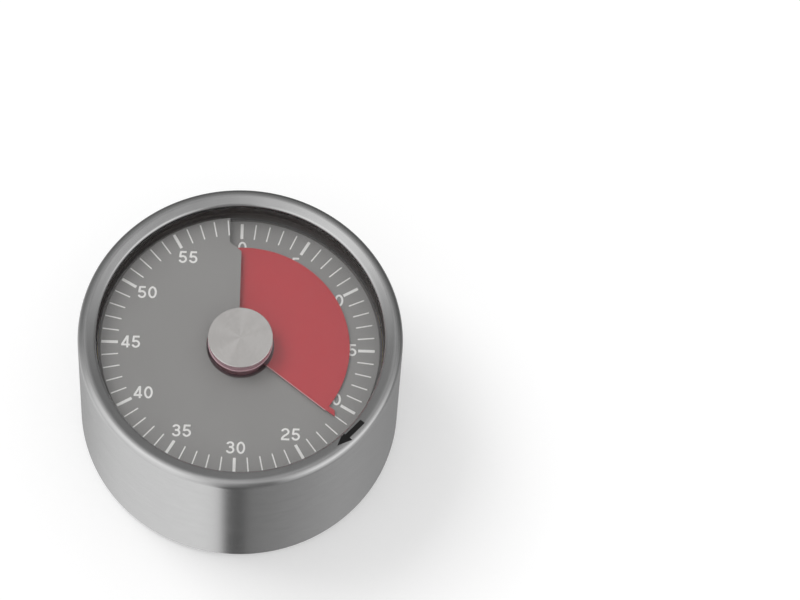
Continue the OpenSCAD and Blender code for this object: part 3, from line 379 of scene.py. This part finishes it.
def digit_strokes(digit):
    """Middle lines of the strokes of a plain sans serif digit, one unit high."""
    half = stroke_w / 2
    mid, top = figure_w / 2, 1 - half
    if digit == "0":
        return [bow((mid, 0.5), (mid - half, 0.5 - half), 0, 360, 48)]
    if digit == "1":
        flag = swing((0.14, 0.75), (0.3, 0.75), (0.37, 0.83), (0.4, 0.99))
        return [np.array([(0.42, 0), (0.42, 1)]), flag]
    if digit == "2":
        crown = bow((mid, 0.7), (mid - half - 0.01, 0.3 - half), 172, -38, 24)
        fall = swing(crown[-1], (0.4, 0.42), (0.1, 0.34), (0.085, half))
        foot = np.array([(0.01, half), (figure_w - 0.01, half)])
        return [np.concatenate([crown, fall[1:]]), foot]
    if digit == "3":
        crown = bow((mid - 0.01, 0.729), (mid - half - 0.03, 0.194), 168, -90, 24)
        bowl = bow((mid - 0.01, 0.306), (mid - half, 0.229), 90, -168, 24)
        return [crown, bowl, np.array([(0.23, 0.535), (0.36, 0.535)])]
    if digit == "4":
        return [np.array([(0.48, 0), (0.48, 1)]), np.array([(0.01, 0.245), (figure_w, 0.245)]),
                np.array([(0.07, 0.25), (0.45, 0.94)])]
    bowl = bow((mid - 0.01, 0.325), (mid - half, 0.325 - half), 140, -165, 28)
    return [np.array([(0.11, top), (0.6, top)]), np.array([(0.165, top), (0.105, 0.47)]), bowl]


def ribbon(path):
    """Both edges of a stroke of even width along a path, in two columns."""
    way = np.gradient(path, axis=0)
    across = np.stack([-way[:, 1], way[:, 0]], 1) / np.linalg.norm(way, axis=1)[:, None]
    return path[:, None, :] + across[:, None, :] * (np.array([-0.5, 0.5]) * stroke_w)[None, :, None]


def figures():
    """Top and bottom grids of the strokes of the twelve upright numbers, each centred on its own
    angle, with 0 and 30 further out. Each stroke lies a hair over the one before."""
    sheets = []
    for minute in range(0, 60, 5):
        digits = str(minute)
        rise = 0 if minute % 30 else figure_rise
        left = -(figure_step * (len(digits) - 1) + figure_w) / 2
        for place, digit in enumerate(digits):
            for layer, path in enumerate(digit_strokes(digit)):
                shape = ribbon(path) + [left + place * figure_step, -0.5]
                centre = np.array(polar(figure_ring_r + rise, minute * 6))
                sheets.append(printed(shape * figure_h + centre, figure_shift, minute * 6, layer))
    return sheets


minute_dial = thin_sheets("minute_dial", [dial_sheet()])
dial_marks = thin_sheets("dial_marks", [mark(m) for m in range(60)])
dial_figures = thin_sheets("dial_figures", figures())

# ---- Red disc ----

def disc_reach(p):
    """Outer radius of the red disc p degrees behind its leading edge: the tab, whose end falls by
    the bevel from its front corner to its back corner, or the rim."""
    rise = np.clip((p - tab_from) / tab_ramp, 0, 1) * np.clip((tab_to - p) / tab_ramp, 0, 1)
    end = tab_r - tab_bevel * (p - tab_from) / (tab_to - tab_from)
    return disc_r + (end - disc_r) * rise


def disc_sheet():
    """Top and bottom grids of the red disc, from its leading edge back under the dial."""
    tab = [0, tab_from, tab_from + tab_ramp, tab_to - tab_ramp, tab_to]
    behind = np.concatenate([tab, np.linspace(tab_to, disc_span, 250)[1:]])
    r, angle = between(disc_inner_r, disc_reach(behind), disc_lead - behind, np.linspace(0, 1, 16))
    return on_dial(r, angle, disc_gap + disc_t), on_dial(r, angle, disc_gap)


def disc_line():
    """Top and bottom grids of a light line along the disc's leading edge, a painted highlight of
    the film's cut edge.
    """
    r, side = np.meshgrid(np.linspace(shade_ring_out_r, disc_r, 16), [highlight_from, highlight_to], indexing="ij")
    angle = disc_lead - np.degrees(side / r)
    top = disc_gap + disc_t
    return on_dial(r, angle, top + ink_t), on_dial(r, angle, top - ink_sink)


def disc_ring():
    """Top and bottom grids of the dark ring on the red disc round its hole, painted shade under the
    hub.
    """
    r, behind = np.meshgrid(np.linspace(shade_ring_in_r, shade_ring_out_r, 3), np.linspace(0, disc_span, 250))
    angle = disc_lead - behind
    top = disc_gap + disc_t
    return on_dial(r, angle, top + ink_t), on_dial(r, angle, top - ink_sink)


time_disc = thin_sheets("time_disc", [disc_sheet()])
disc_hub_shade = thin_sheets("disc_hub_shade", [disc_ring()])
disc_edge_highlight = thin_sheets("disc_edge_highlight", [disc_line()])

# ---- Hub ----

cap_face_z = cap_high.z - cap_roof
skirt_r = cap_r - bead_r
hub_face = revolve("hub_face", [
    line((0, cap_face_z), (cap_r, cap_face_z), 4),
    line((cap_r, cap_face_z), (cap_r, cap_high.z - cap_edge_r), 2),
    arc((cap_r - cap_edge_r, cap_high.z - cap_edge_r), cap_edge_r, 0, 90, 8),
    line((cap_r - cap_edge_r, cap_high.z), (0, cap_high.z), 8),
], 160, loop=False)
hub_skirt = revolve("hub_skirt", [
    line((0, cap_low.z), (skirt_r, cap_low.z), 4),
    line((skirt_r, cap_low.z), (skirt_r, cap_face_z), 3),
    line((skirt_r, cap_face_z), (0, cap_face_z), 4),
], 160, loop=False)
hub_bead = revolve("hub_bead", [arc((skirt_r, cap_low.z + bead_r), bead_r, -180, 180, 20)], 160)


# ---- Shader groups ----

def wire(tree, source, target):
    tree.links.new(source, target)


def find_node(tree, kind):
    """The tree's one node of a kind."""
    return next(node for node in tree.nodes if node.type == kind)


def add_math(tree, operation, a, b=None):
    """A Math node. Its inputs are sockets or plain numbers."""
    node = tree.nodes.new("ShaderNodeMath")
    node.operation = operation
    for socket, value in zip(node.inputs, (a, b)):
        if isinstance(value, bpy.types.NodeSocket):
            wire(tree, value, socket)
        elif value is not None:
            socket.default_value = value
    return node.outputs[0]


def mix_shaders(tree, share, first, second):
    """A Mix Shader node that goes from the first node's shader to the second's."""
    mix = tree.nodes.new("ShaderNodeMixShader")
    for socket, source in zip(mix.inputs, (share, first.outputs[0], second.outputs[0])):
        wire(tree, source, socket)
    return mix


def axis_distance(tree, x, y):
    """Distance from the Z axis: the root of x x + y y."""
    squares = [add_math(tree, "MULTIPLY", side, side) for side in (x, y)]
    return add_math(tree, "SQRT", add_math(tree, "ADD", *squares))


def weigh(tree, a, share_a, b, share_b):
    """Weighted sum of two values."""
    a = add_math(tree, "MULTIPLY", a, share_a)
    return add_math(tree, "ADD", a, add_math(tree, "MULTIPLY", b, share_b))


def start_group(name, inputs, outputs):
    """A shader node group with its named sockets, and its input and output nodes."""
    group = bpy.data.node_groups.new(name, "ShaderNodeTree")
    for label, kind, default in inputs:
        socket = group.interface.new_socket(label, in_out="INPUT", socket_type="NodeSocket" + kind)
        if default is not None:
            socket.default_value = default
    for label, kind in outputs:
        group.interface.new_socket(label, in_out="OUTPUT", socket_type="NodeSocket" + kind)
    return group, group.nodes.new("NodeGroupInput"), group.nodes.new("NodeGroupOutput")


def add_noise(tree, vector, scale, detail=2, rough=0.5, fourth=None):
    """A Noise node whose output lies about 0.5."""
    node = tree.nodes.new("ShaderNodeTexNoise")
    if fourth is not None:
        node.noise_dimensions = "4D"
        wire(tree, fourth, node.inputs["W"])
    wire(tree, vector, node.inputs["Vector"])
    for label, value in (("Scale", scale), ("Detail", detail), ("Roughness", rough)):
        if isinstance(value, bpy.types.NodeSocket):
            wire(tree, value, node.inputs[label])
        else:
            node.inputs[label].default_value = value
    return node.outputs["Fac"]


def turned_grain_group():
    """Fine lines that run round the Z axis, as turning and circular brushing leave them: noise read
    at (k cos t, k sin t, s z) and s r, so that it is long round the axis, short across, and has no
    seam. Its fan adds broad wedges of light and dark round the axis, a painted sheen like the
    highlights of a brushed disc, and its mottle adds soft patches."""
    group, given, made = start_group(
        "turned_grain",
        [("Vector", "Vector", None), ("Across", "Float", 9000), ("Along", "Float", 14),
         ("SheenFan", "Float", 0), ("Mottle", "Float", 0)],
        [("Height", "Float"), ("Tone", "Float")],
    )
    split = group.nodes.new("ShaderNodeSeparateXYZ")
    wire(group, given.outputs["Vector"], split.inputs[0])
    x, y, z = split.outputs
    r = axis_distance(group, x, y)
    safe_r = add_math(group, "MAXIMUM", r, 1e-5)
    join = group.nodes.new("ShaderNodeCombineXYZ")
    wedge = group.nodes.new("ShaderNodeCombineXYZ")
    for number, side in enumerate((x, y)):
        ray = add_math(group, "DIVIDE", side, safe_r)
        wire(group, add_math(group, "MULTIPLY", ray, given.outputs["Along"]), join.inputs[number])
        wire(group, ray, wedge.inputs[number])
    wire(group, add_math(group, "MULTIPLY", z, given.outputs["Across"]), join.inputs[2])
    across = add_math(group, "MULTIPLY", r, given.outputs["Across"])
    fine = add_noise(group, join.outputs[0], 1, 3, 0.6, across)
    slow = add_math(group, "MULTIPLY", across, 0.22)
    broad = add_noise(group, join.outputs[0], 0.22, 2, 0.5, slow)
    sheen_wedges = add_noise(group, wedge.outputs[0], 1.5, 1, 0.3)
    patches = add_noise(group, given.outputs["Vector"], 260, 2, 0.5)
    tone = weigh(group, fine, 0.5, broad, 0.5)
    for noise, amount in ((sheen_wedges, "SheenFan"), (patches, "Mottle")):
        effect = add_math(group, "SUBTRACT", noise, 0.5)
        effect = add_math(group, "MULTIPLY", effect, given.outputs[amount])
        tone = add_math(group, "ADD", tone, effect)
    wire(group, fine, made.inputs["Height"])
    wire(group, tone, made.inputs["Tone"])
    return group


def fine_grain_group():
    """Even grain of a moulded, cast, rolled or printed surface, with a slow mottle under it."""
    group, given, made = start_group(
        "fine_grain",
        [("Vector", "Vector", None), ("Grain", "Float", 2500), ("Mottle", "Float", 120)],
        [("Height", "Float"), ("Tone", "Float")],
    )
    fine = add_noise(group, given.outputs["Vector"], given.outputs["Grain"], 3, 0.6)
    broad = add_noise(group, given.outputs["Vector"], given.outputs["Mottle"], 3, 0.5)
    wire(group, fine, made.inputs["Height"])
    wire(group, weigh(group, fine, 0.35, broad, 0.65), made.inputs["Tone"])
    return group


def drawn_grain_group():
    """Straight lines along X, as rolling or linishing leaves them on a sheet before it is cut."""
    group, given, made = start_group(
        "drawn_grain",
        [("Vector", "Vector", None), ("Across", "Float", 6000), ("Along", "Float", 120)],
        [("Height", "Float"), ("Tone", "Float")],
    )
    split = group.nodes.new("ShaderNodeSeparateXYZ")
    wire(group, given.outputs["Vector"], split.inputs[0])
    join = group.nodes.new("ShaderNodeCombineXYZ")
    for number, rate in enumerate(("Along", "Across", "Across")):
        scaled = add_math(group, "MULTIPLY", split.outputs[number], given.outputs[rate])
        wire(group, scaled, join.inputs[number])
    fine = add_noise(group, join.outputs[0], 1, 3, 0.6)
    broad = add_noise(group, join.outputs[0], 0.2, 2, 0.5)
    wire(group, fine, made.inputs["Height"])
    wire(group, weigh(group, fine, 0.5, broad, 0.5), made.inputs["Tone"])
    return group


def rim_shade_group():
    """Share of full brightness at a distance from the Z axis: dark up to In, full from Out."""
    group, given, made = start_group(
        "rim_shade",
        [("Vector", "Vector", None), ("In", "Float", 0), ("Out", "Float", 1), ("Dark", "Float", 0)],
        [("Share", "Float")],
    )
    split = group.nodes.new("ShaderNodeSeparateXYZ")
    wire(group, given.outputs["Vector"], split.inputs[0])
    r = axis_distance(group, split.outputs[0], split.outputs[1])
    step = group.nodes.new("ShaderNodeMapRange")
    step.interpolation_type = "SMOOTHSTEP"
    for label, socket in (("Value", r), ("From Min", given.outputs["In"]),
                          ("From Max", given.outputs["Out"]), ("To Min", given.outputs["Dark"])):
        wire(group, socket, step.inputs[label])
    wire(group, step.outputs[0], made.inputs["Share"])
    return group


turned_grain = turned_grain_group()
fine_grain = fine_grain_group()
drawn_grain = drawn_grain_group()
rim_shade = rim_shade_group()


# ---- Materials ----

# Tones of a grain between which colour and roughness go from one end to the other
tone_range = (0.3, 0.7)


def grained(name, dark, light, rough, grain, rates, bump, metallic=0, anisotropic=0):
    """A Principled material. The grain's tone runs the colour from dark to light and the roughness
    between its two values, and the grain's height drives the bump, whose depth is in metres.
    Turned metal is anisotropic: its highlights spread across lines that run round the Z axis."""
    material = bpy.data.materials.new(name)
    material.use_nodes = True
    tree = material.node_tree
    tree.nodes.clear()
    shader = tree.nodes.new("ShaderNodeBsdfPrincipled")
    output = tree.nodes.new("ShaderNodeOutputMaterial")
    wire(tree, shader.outputs[0], output.inputs["Surface"])
    place = tree.nodes.new("ShaderNodeTexCoord").outputs["Object"]
    effect = tree.nodes.new("ShaderNodeGroup")
    effect.node_tree = grain
    wire(tree, place, effect.inputs["Vector"])
    for label, value in rates.items():
        effect.inputs[label].default_value = value
    tint = tree.nodes.new("ShaderNodeValToRGB")
    for end, place_on, colour in zip(tint.color_ramp.elements, tone_range, (dark, light)):
        end.position = place_on
        end.color = (*colour, 1)
    wire(tree, effect.outputs["Tone"], tint.inputs[0])
    wire(tree, tint.outputs[0], shader.inputs["Base Color"])
    spread = tree.nodes.new("ShaderNodeMapRange")
    for label, value in zip(("From Min", "From Max", "To Min", "To Max"), (*tone_range, *rough)):
        spread.inputs[label].default_value = value
    wire(tree, effect.outputs["Tone"], spread.inputs["Value"])
    wire(tree, spread.outputs[0], shader.inputs["Roughness"])
    relief = tree.nodes.new("ShaderNodeBump")
    relief.inputs["Strength"].default_value = 1
    relief.inputs["Distance"].default_value = bump
    wire(tree, effect.outputs["Height"], relief.inputs["Height"])
    wire(tree, relief.outputs[0], shader.inputs["Normal"])
    shader.inputs["Metallic"].default_value = metallic
    if anisotropic:
        round_axis = tree.nodes.new("ShaderNodeTangent")
        round_axis.direction_type, round_axis.axis = "RADIAL", "Z"
        wire(tree, round_axis.outputs[0], shader.inputs["Tangent"])
        shader.inputs["Anisotropic"].default_value = anisotropic
        shader.inputs["Anisotropic Rotation"].default_value = 0.25
    return material


def shade_rim(material, start, end, dark):
    """Painted shade on bare metal near its inner edge: nearer to the Z axis than start its colour
    is darkened and it stops being metallic, so it shows a dark line in place of a reflection, and
    beyond end it is left as it is."""
    tree = material.node_tree
    shader = find_node(tree, "BSDF_PRINCIPLED")
    shade = tree.nodes.new("ShaderNodeGroup")
    shade.node_tree = rim_shade
    wire(tree, tree.nodes.new("ShaderNodeTexCoord").outputs["Object"], shade.inputs["Vector"])
    for label, value in (("In", start), ("Out", end), ("Dark", dark)):
        shade.inputs[label].default_value = value
    tint = shader.inputs["Base Color"].links[0].from_socket
    product = tree.nodes.new("ShaderNodeMix")
    product.data_type, product.blend_type = "RGBA", "MULTIPLY"
    product.inputs["Factor"].default_value = 1
    wire(tree, tint, product.inputs["A"])
    wire(tree, shade.outputs["Share"], product.inputs["B"])
    wire(tree, product.outputs["Result"], shader.inputs["Base Color"])
    wire(tree, shade.outputs["Share"], shader.inputs["Metallic"])


def lens_material():
    """Clear plastic. Lamps and soft light pass straight through to the dial."""
    material = grained("lens_clear", (0.96, 0.96, 0.96), (1, 1, 1), (0.01, 0.03), fine_grain,
                       {"Grain": 900, "Mottle": 60}, 2e-8)
    tree = material.node_tree
    shader = find_node(tree, "BSDF_PRINCIPLED")
    output = find_node(tree, "OUTPUT_MATERIAL")
    shader.inputs["Transmission Weight"].default_value = 1
    shader.inputs["IOR"].default_value = 1.49
    clear = tree.nodes.new("ShaderNodeBsdfTransparent")
    ray = tree.nodes.new("ShaderNodeLightPath")
    through = add_math(tree, "MAXIMUM", ray.outputs["Is Shadow Ray"], ray.outputs["Is Diffuse Ray"])
    mix = mix_shaders(tree, through, shader, clear)
    wire(tree, mix.outputs[0], output.inputs["Surface"])
    return material


# The finish of each slot of the part
finish = {
    "housing_steel": grained(
        "housing_steel", (0.59, 0.59, 0.59), (0.655, 0.655, 0.655), (0.2, 0.26), turned_grain,
        {"Across": 9000, "Along": 9, "Mottle": 0.4}, 2.5e-7, 1, anisotropic=0.7),
    # Painted sheen on the hub: wedges of light and dark round its middle
    "hub_steel": grained(
        "hub_steel", (0.79, 0.765, 0.745), (0.885, 0.86, 0.84), (0.25, 0.27), turned_grain,
        {"Across": 2500, "Along": 3, "SheenFan": 1.1}, 3e-8, 0.83, anisotropic=0.7),
    "lens_clear": lens_material(),
    "rim_plastic": grained(
        "rim_plastic", (0.026, 0.021, 0.02), (0.042, 0.035, 0.032), (0.3, 0.45), fine_grain,
        {"Grain": 3000, "Mottle": 200}, 3e-6),
    "seat_plastic": grained(
        "seat_plastic", (0.062, 0.055, 0.052), (0.088, 0.079, 0.075), (0.4, 0.55), fine_grain,
        {"Grain": 3000, "Mottle": 200}, 3e-6),
    "tub_plastic": grained(
        "tub_plastic", (0.035, 0.035, 0.036), (0.055, 0.055, 0.056), (0.45, 0.6), fine_grain,
        {"Grain": 2500, "Mottle": 90}, 6e-6),
    "dial_grey": grained(
        "dial_grey", (0.223, 0.219, 0.213), (0.239, 0.235, 0.229), (0.42, 0.52), fine_grain,
        {"Grain": 4000, "Mottle": 70}, 8e-7),
    "disc_red": grained(
        "disc_red", (0.415, 0.014, 0.024), (0.455, 0.021, 0.032), (0.4, 0.5), fine_grain,
        {"Grain": 4000, "Mottle": 60}, 8e-7),
    "collar_red": grained(
        "collar_red", (0.36, 0.19, 0.22), (0.42, 0.23, 0.26), (0.4, 0.5), fine_grain,
        {"Grain": 3000, "Mottle": 150}, 2e-6),
    "foot_rubber": grained(
        "foot_rubber", (0.014, 0.014, 0.014), (0.025, 0.025, 0.025), (0.7, 0.85), fine_grain,
        {"Grain": 2000, "Mottle": 150}, 0.00001),
    "magnet_nickel": grained(
        "magnet_nickel", (0.55, 0.53, 0.49), (0.66, 0.63, 0.58), (0.12, 0.3), fine_grain,
        {"Grain": 1800, "Mottle": 250}, 1e-6, 1),
    "glide_plastic": grained(
        "glide_plastic", (0.68, 0.67, 0.63), (0.78, 0.77, 0.73), (0.35, 0.5), fine_grain,
        {"Grain": 2500, "Mottle": 120}, 3e-6),
    "plate_brass": grained(
        "plate_brass", (0.62, 0.45, 0.17), (0.78, 0.6, 0.28), (0.22, 0.4), drawn_grain,
        {"Across": 6000, "Along": 120}, 1e-6, 1),
    "wheel_brass": grained(
        "wheel_brass", (0.66, 0.47, 0.16), (0.82, 0.62, 0.27), (0.2, 0.36), drawn_grain,
        {"Across": 9000, "Along": 200}, 1e-6, 1),
    "arbor_steel": grained(
        "arbor_steel", (0.48, 0.48, 0.49), (0.62, 0.62, 0.62), (0.18, 0.34), fine_grain,
        {"Grain": 6000, "Mottle": 500}, 8e-7, 1),
    "spring_steel": grained(
        "spring_steel", (0.1, 0.13, 0.22), (0.2, 0.23, 0.3), (0.22, 0.38), drawn_grain,
        {"Across": 7000, "Along": 90}, 8e-7, 1),
    "bell_steel": grained(
        "bell_steel", (0.6, 0.57, 0.51), (0.7, 0.67, 0.61), (0.1, 0.22), turned_grain,
        {"Across": 5000, "Along": 8}, 6e-7, 1, anisotropic=0.3),
}

# Painted shade along the lip's inner edge: the steel is fully darkened within the first width from
# the edge, and shines in full from the second width on
edge_shade_full_w = 0.04 * MM
edge_shade_end_w = 0.3 * MM
edge_shade_dark = 0.02
shade_rim(finish["housing_steel"], lip_open_r + edge_shade_full_w, lip_open_r + edge_shade_end_w, edge_shade_dark)

# Painted reflection: the skirt's pink stands in for the red disc mirrored in the hub's steel side
skirt_reflection_pink = grained("hub_skirt", (0.56, 0.35, 0.39), (0.64, 0.4, 0.45), (0.3, 0.4), turned_grain,
                    {"Across": 7000, "Along": 10}, 3e-7, 0.25)
mark_ink = grained("mark_ink", (0.71, 0.705, 0.69), (0.79, 0.785, 0.77), (0.4, 0.55), fine_grain,
                   {"Grain": 6000, "Mottle": 300}, 1e-6)
arrow_ink = grained("arrow_ink", (0.003, 0.003, 0.003), (0.009, 0.009, 0.009), (0.35, 0.5),
                    fine_grain, {"Grain": 5000, "Mottle": 300}, 1e-6)
# Painted highlight: the light pink line round the foot of the hub
bead_highlight = grained("bead_highlight", (0.66, 0.47, 0.51), (0.74, 0.53, 0.57), (0.35, 0.45), fine_grain,
                    {"Grain": 5000, "Mottle": 300}, 5e-7, 0.2)
# Painted highlight: the light pink line along the red disc's leading edge
film_edge_highlight = grained("film_edge_highlight", (0.5, 0.36, 0.37), (0.6, 0.46, 0.47), (0.3, 0.45), fine_grain,
                    {"Grain": 5000, "Mottle": 300}, 1e-6)
# Painted shade: the dark ring on the red disc round the hub
hub_shade_ink = grained("hub_shade_ink", (0.1, 0.068, 0.075), (0.13, 0.088, 0.097), (0.4, 0.5), fine_grain,
                   {"Grain": 6000, "Mottle": 300}, 1e-6)

for row in frame["record"]["subparts"]:
    node = frame["nodes"][row["node"]]
    for held in node.material_slots:
        held.material = finish[row["material_slot"]]


def finish_piece(piece, material, slot, body, *nodes):
    """Gives a piece its material and the body it rides on, and hides the nodes it stands for. Its
    slot is not used.
    """
    piece.data.materials.clear()
    piece.data.materials.append(material)
    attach(piece, body)
    if nodes:
        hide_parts(*nodes)


finish_piece(housing_shell, finish["housing_steel"], "housing_steel", "housing", "housing_cup")
finish_piece(lip_arrow, arrow_ink, "housing_steel", "housing")
finish_piece(hub_face, finish["hub_steel"], "hub_steel", "housing", "hub_cap")
finish_piece(hub_skirt, skirt_reflection_pink, "hub_steel", "housing")
finish_piece(hub_bead, bead_highlight, "hub_steel", "housing")
finish_piece(minute_dial, finish["dial_grey"], "dial_grey", "base", "dial")
finish_piece(dial_marks, mark_ink, "dial_grey", "base")
finish_piece(dial_figures, mark_ink, "dial_grey", "base")
finish_piece(time_disc, finish["disc_red"], "disc_red", "time_disc", "red_disc")
finish_piece(disc_edge_highlight, film_edge_highlight, "disc_red", "time_disc")
finish_piece(disc_hub_shade, hub_shade_ink, "disc_red", "time_disc")

# ---- Floor ----

floor_size = 6
floor_grey = 0.82
floor_glow = 0.25


def make_floor():
    """Pale square under the object. To the camera it shows its shadow over a white ground, and
    polished steel sees the studio past it."""
    half = floor_size / 2
    u, v = np.meshgrid(np.linspace(-half, half, 2), np.linspace(-half, half, 2), indexing="ij")
    floor = make_piece("floor", np.stack([u, v, 0 * u], 2).reshape(-1, 3), grid_quads(2, 2))
    material = bpy.data.materials.new("floor_paper")
    material.use_nodes = True
    tree = material.node_tree
    tree.nodes.clear()
    output = tree.nodes.new("ShaderNodeOutputMaterial")
    paper = tree.nodes.new("ShaderNodeBsdfDiffuse")
    paper.inputs["Color"].default_value = (floor_grey, floor_grey, floor_grey, 1)
    glow = tree.nodes.new("ShaderNodeEmission")
    glow.inputs["Color"].default_value = (1, 1, 1, 1)
    ray = tree.nodes.new("ShaderNodeLightPath")
    seen = add_math(tree, "MULTIPLY", ray.outputs["Is Camera Ray"], floor_glow)
    wire(tree, seen, glow.inputs["Strength"])
    both = tree.nodes.new("ShaderNodeAddShader")
    wire(tree, paper.outputs[0], both.inputs[0])
    wire(tree, glow.outputs[0], both.inputs[1])
    wire(tree, both.outputs[0], output.inputs["Surface"])
    floor.data.materials.append(material)
    floor.visible_glossy = False


make_floor()

# ---- Studio ----

key_strength = 0.35
key_place = (-0.9, 0.5, 1.6)
key_aim = (0, 0, 0.03)
key_size = 0.9
fill_strength = 0.72

# Panels and flags that polished steel sees, as brightness at shares of a turn, from the back by
# the left, front and right. The lowest band comes first. Each band after it has the two heights
# between which it takes over from the band under it.
studio_ground = [
    (0, 0.22), (0.12, 0.44), (0.19, 0.66), (0.25, 0.8), (0.43, 0.9), (0.466, 0.84), (0.478, 0.11),
    (0.512, 0.12), (0.524, 0.23), (0.6, 0.3), (0.72, 0.42), (0.88, 0.32), (1, 0.22),
]
studio_bands = [
    (-0.6, -0.1, [(0, 0.1), (0.1, 0.14), (0.19, 0.3), (0.27, 0.74), (0.42, 0.88), (0.46, 0.7),
                  (0.49, 0.2), (0.55, 0.17), (0.58, 0.55), (0.62, 0.68), (0.68, 0.62), (0.74, 0.3),
                  (0.84, 0.1), (1, 0.1)]),
    (0.1, 0.35, [(0, 0.25), (0.17, 0.24), (0.21, 0.4), (0.25, 0.8), (0.3, 1), (0.42, 1.04),
                 (0.455, 0.8), (0.49, 0.3), (0.55, 0.17), (0.58, 0.7), (0.62, 1.08), (0.7, 1.12),
                 (0.74, 0.85), (0.79, 0.4), (0.84, 0.18), (0.92, 0.2), (1, 0.25)]),
    (0.62, 0.76, [(0, 0.3), (0.15, 0.32), (0.2, 0.6), (0.25, 0.95), (0.33, 1.2), (0.4, 1.06),
                  (0.47, 0.6), (0.53, 0.32), (0.58, 0.6), (0.65, 0.8), (0.7, 0.6), (0.78, 0.57),
                  (0.84, 0.38), (0.9, 0.28), (1, 0.3)]),
    (0.87, 0.93, [(0, 0.46), (0.1, 0.5), (0.16, 0.62), (0.28, 0.82), (0.35, 0.76), (0.45, 0.62),
                  (0.53, 0.54), (0.6, 0.45), (0.7, 0.37), (0.85, 0.38), (1, 0.46)]),
]


def ramp(tree, source, stops):
    """A grey Color Ramp over a 0 to 1 socket, from (place, brightness) stops."""
    node = tree.nodes.new("ShaderNodeValToRGB")
    band = node.color_ramp
    for _ in range(len(stops) - 2):
        band.elements.new(0.5)
    for element, (place, value) in zip(band.elements, stops):
        element.position = place
        element.color = (value, value, value, 1)
    wire(tree, source, node.inputs[0])
    return node.outputs[0]


def make_world():
    """White to the camera and through clear plastic, an even soft light for matt surfaces, and
    for polished ones a studio of large panels and flags, each given by its direction: the share
    of a turn from the back by the left, front and right, and the height above the horizon."""
    world = bpy.data.worlds.new("studio")
    bpy.context.scene.world = world
    world.use_nodes = True
    world.cycles.sampling_method = "NONE"
    tree = world.node_tree
    tree.nodes.clear()
    output = tree.nodes.new("ShaderNodeOutputWorld")
    split = tree.nodes.new("ShaderNodeSeparateXYZ")
    wire(tree, tree.nodes.new("ShaderNodeTexCoord").outputs["Generated"], split.inputs[0])
    x, y, z = split.outputs
    bearing = add_math(tree, "ARCTAN2", x, add_math(tree, "MULTIPLY", y, -1))
    share = add_math(tree, "ADD", add_math(tree, "DIVIDE", bearing, TURN), 0.5)
    shown = ramp(tree, share, studio_ground)
    for low, high, stops in studio_bands:
        step = tree.nodes.new("ShaderNodeMapRange")
        step.interpolation_type = "SMOOTHSTEP"
        step.inputs["From Min"].default_value = low
        step.inputs["From Max"].default_value = high
        wire(tree, z, step.inputs["Value"])
        blend = tree.nodes.new("ShaderNodeMix")
        blend.data_type = "RGBA"
        wire(tree, step.outputs[0], blend.inputs["Factor"])
        wire(tree, shown, blend.inputs["A"])
        wire(tree, ramp(tree, share, stops), blend.inputs["B"])
        shown = blend.outputs["Result"]
    ray = tree.nodes.new("ShaderNodeLightPath")
    sight = (ray.outputs["Is Camera Ray"], ray.outputs["Is Transmission Ray"])
    direct = add_math(tree, "MAXIMUM", *sight)
    panels = tree.nodes.new("ShaderNodeBackground")
    wire(tree, shown, panels.inputs["Color"])
    soft = tree.nodes.new("ShaderNodeBackground")
    ground = tree.nodes.new("ShaderNodeBackground")
    for white_light, strength in ((soft, fill_strength), (ground, 1)):
        white_light.inputs["Color"].default_value = (1, 1, 1, 1)
        white_light.inputs["Strength"].default_value = strength
    lit = mix_shaders(tree, ray.outputs["Is Glossy Ray"], soft, panels)
    wire(tree, mix_shaders(tree, direct, lit, ground).outputs[0], output.inputs["Surface"])


def make_lamp(name, place, aim, size, irradiance):
    """A square area lamp that gives this irradiance at its aim, hidden from mirrors."""
    light = bpy.data.lights.new(name, "AREA")
    lamp = bpy.data.objects.new(name, light)
    bpy.context.scene.collection.objects.link(lamp)
    lamp.location = place
    way = Vector(aim) - Vector(place)
    lamp.rotation_mode = "QUATERNION"
    lamp.rotation_quaternion = way.to_track_quat("-Z", "Y")
    light.size = size
    light.energy = irradiance * math.pi**2 * way.length_squared
    lamp.visible_glossy = False
    lamp.visible_camera = False
    lamp.visible_transmission = False


make_world()
make_lamp("key", key_place, key_aim, key_size, key_strength)

# ---- Camera ----

camera_lens = 231.558
camera_sensor = 36
camera_distance = 1052.42 * MM
camera_aim = Vector((32.208, 17.312, 19.25)) * MM
camera_elevation = math.radians(66.156)
camera_azimuth = math.radians(-3.408)
camera_roll = math.radians(4.878)


def make_camera():
    """A camera back from its aim by azimuth and elevation, and rolled about its view."""
    level = math.cos(camera_elevation)
    back = Vector((math.sin(camera_azimuth) * level, -math.cos(camera_azimuth) * level,
                   math.sin(camera_elevation)))
    flat = UP.cross(back).normalized()
    tall = back.cross(flat)
    right = flat * math.cos(camera_roll) + tall * math.sin(camera_roll)
    up = back.cross(right)
    data = bpy.data.cameras.new("camera")
    camera = bpy.data.objects.new("camera", data)
    bpy.context.scene.collection.objects.link(camera)
    data.lens = camera_lens
    data.sensor_width = camera_sensor
    data.clip_start = 0.01
    data.clip_end = 20
    camera.rotation_mode = "QUATERNION"
    camera.rotation_quaternion = Matrix((right, up, back)).transposed().to_quaternion()
    camera.location = camera_aim + back * camera_distance
    bpy.context.scene.camera = camera


make_camera()
bpy.context.scene.view_settings.view_transform = "Standard"

bpy.context.view_layer.update()
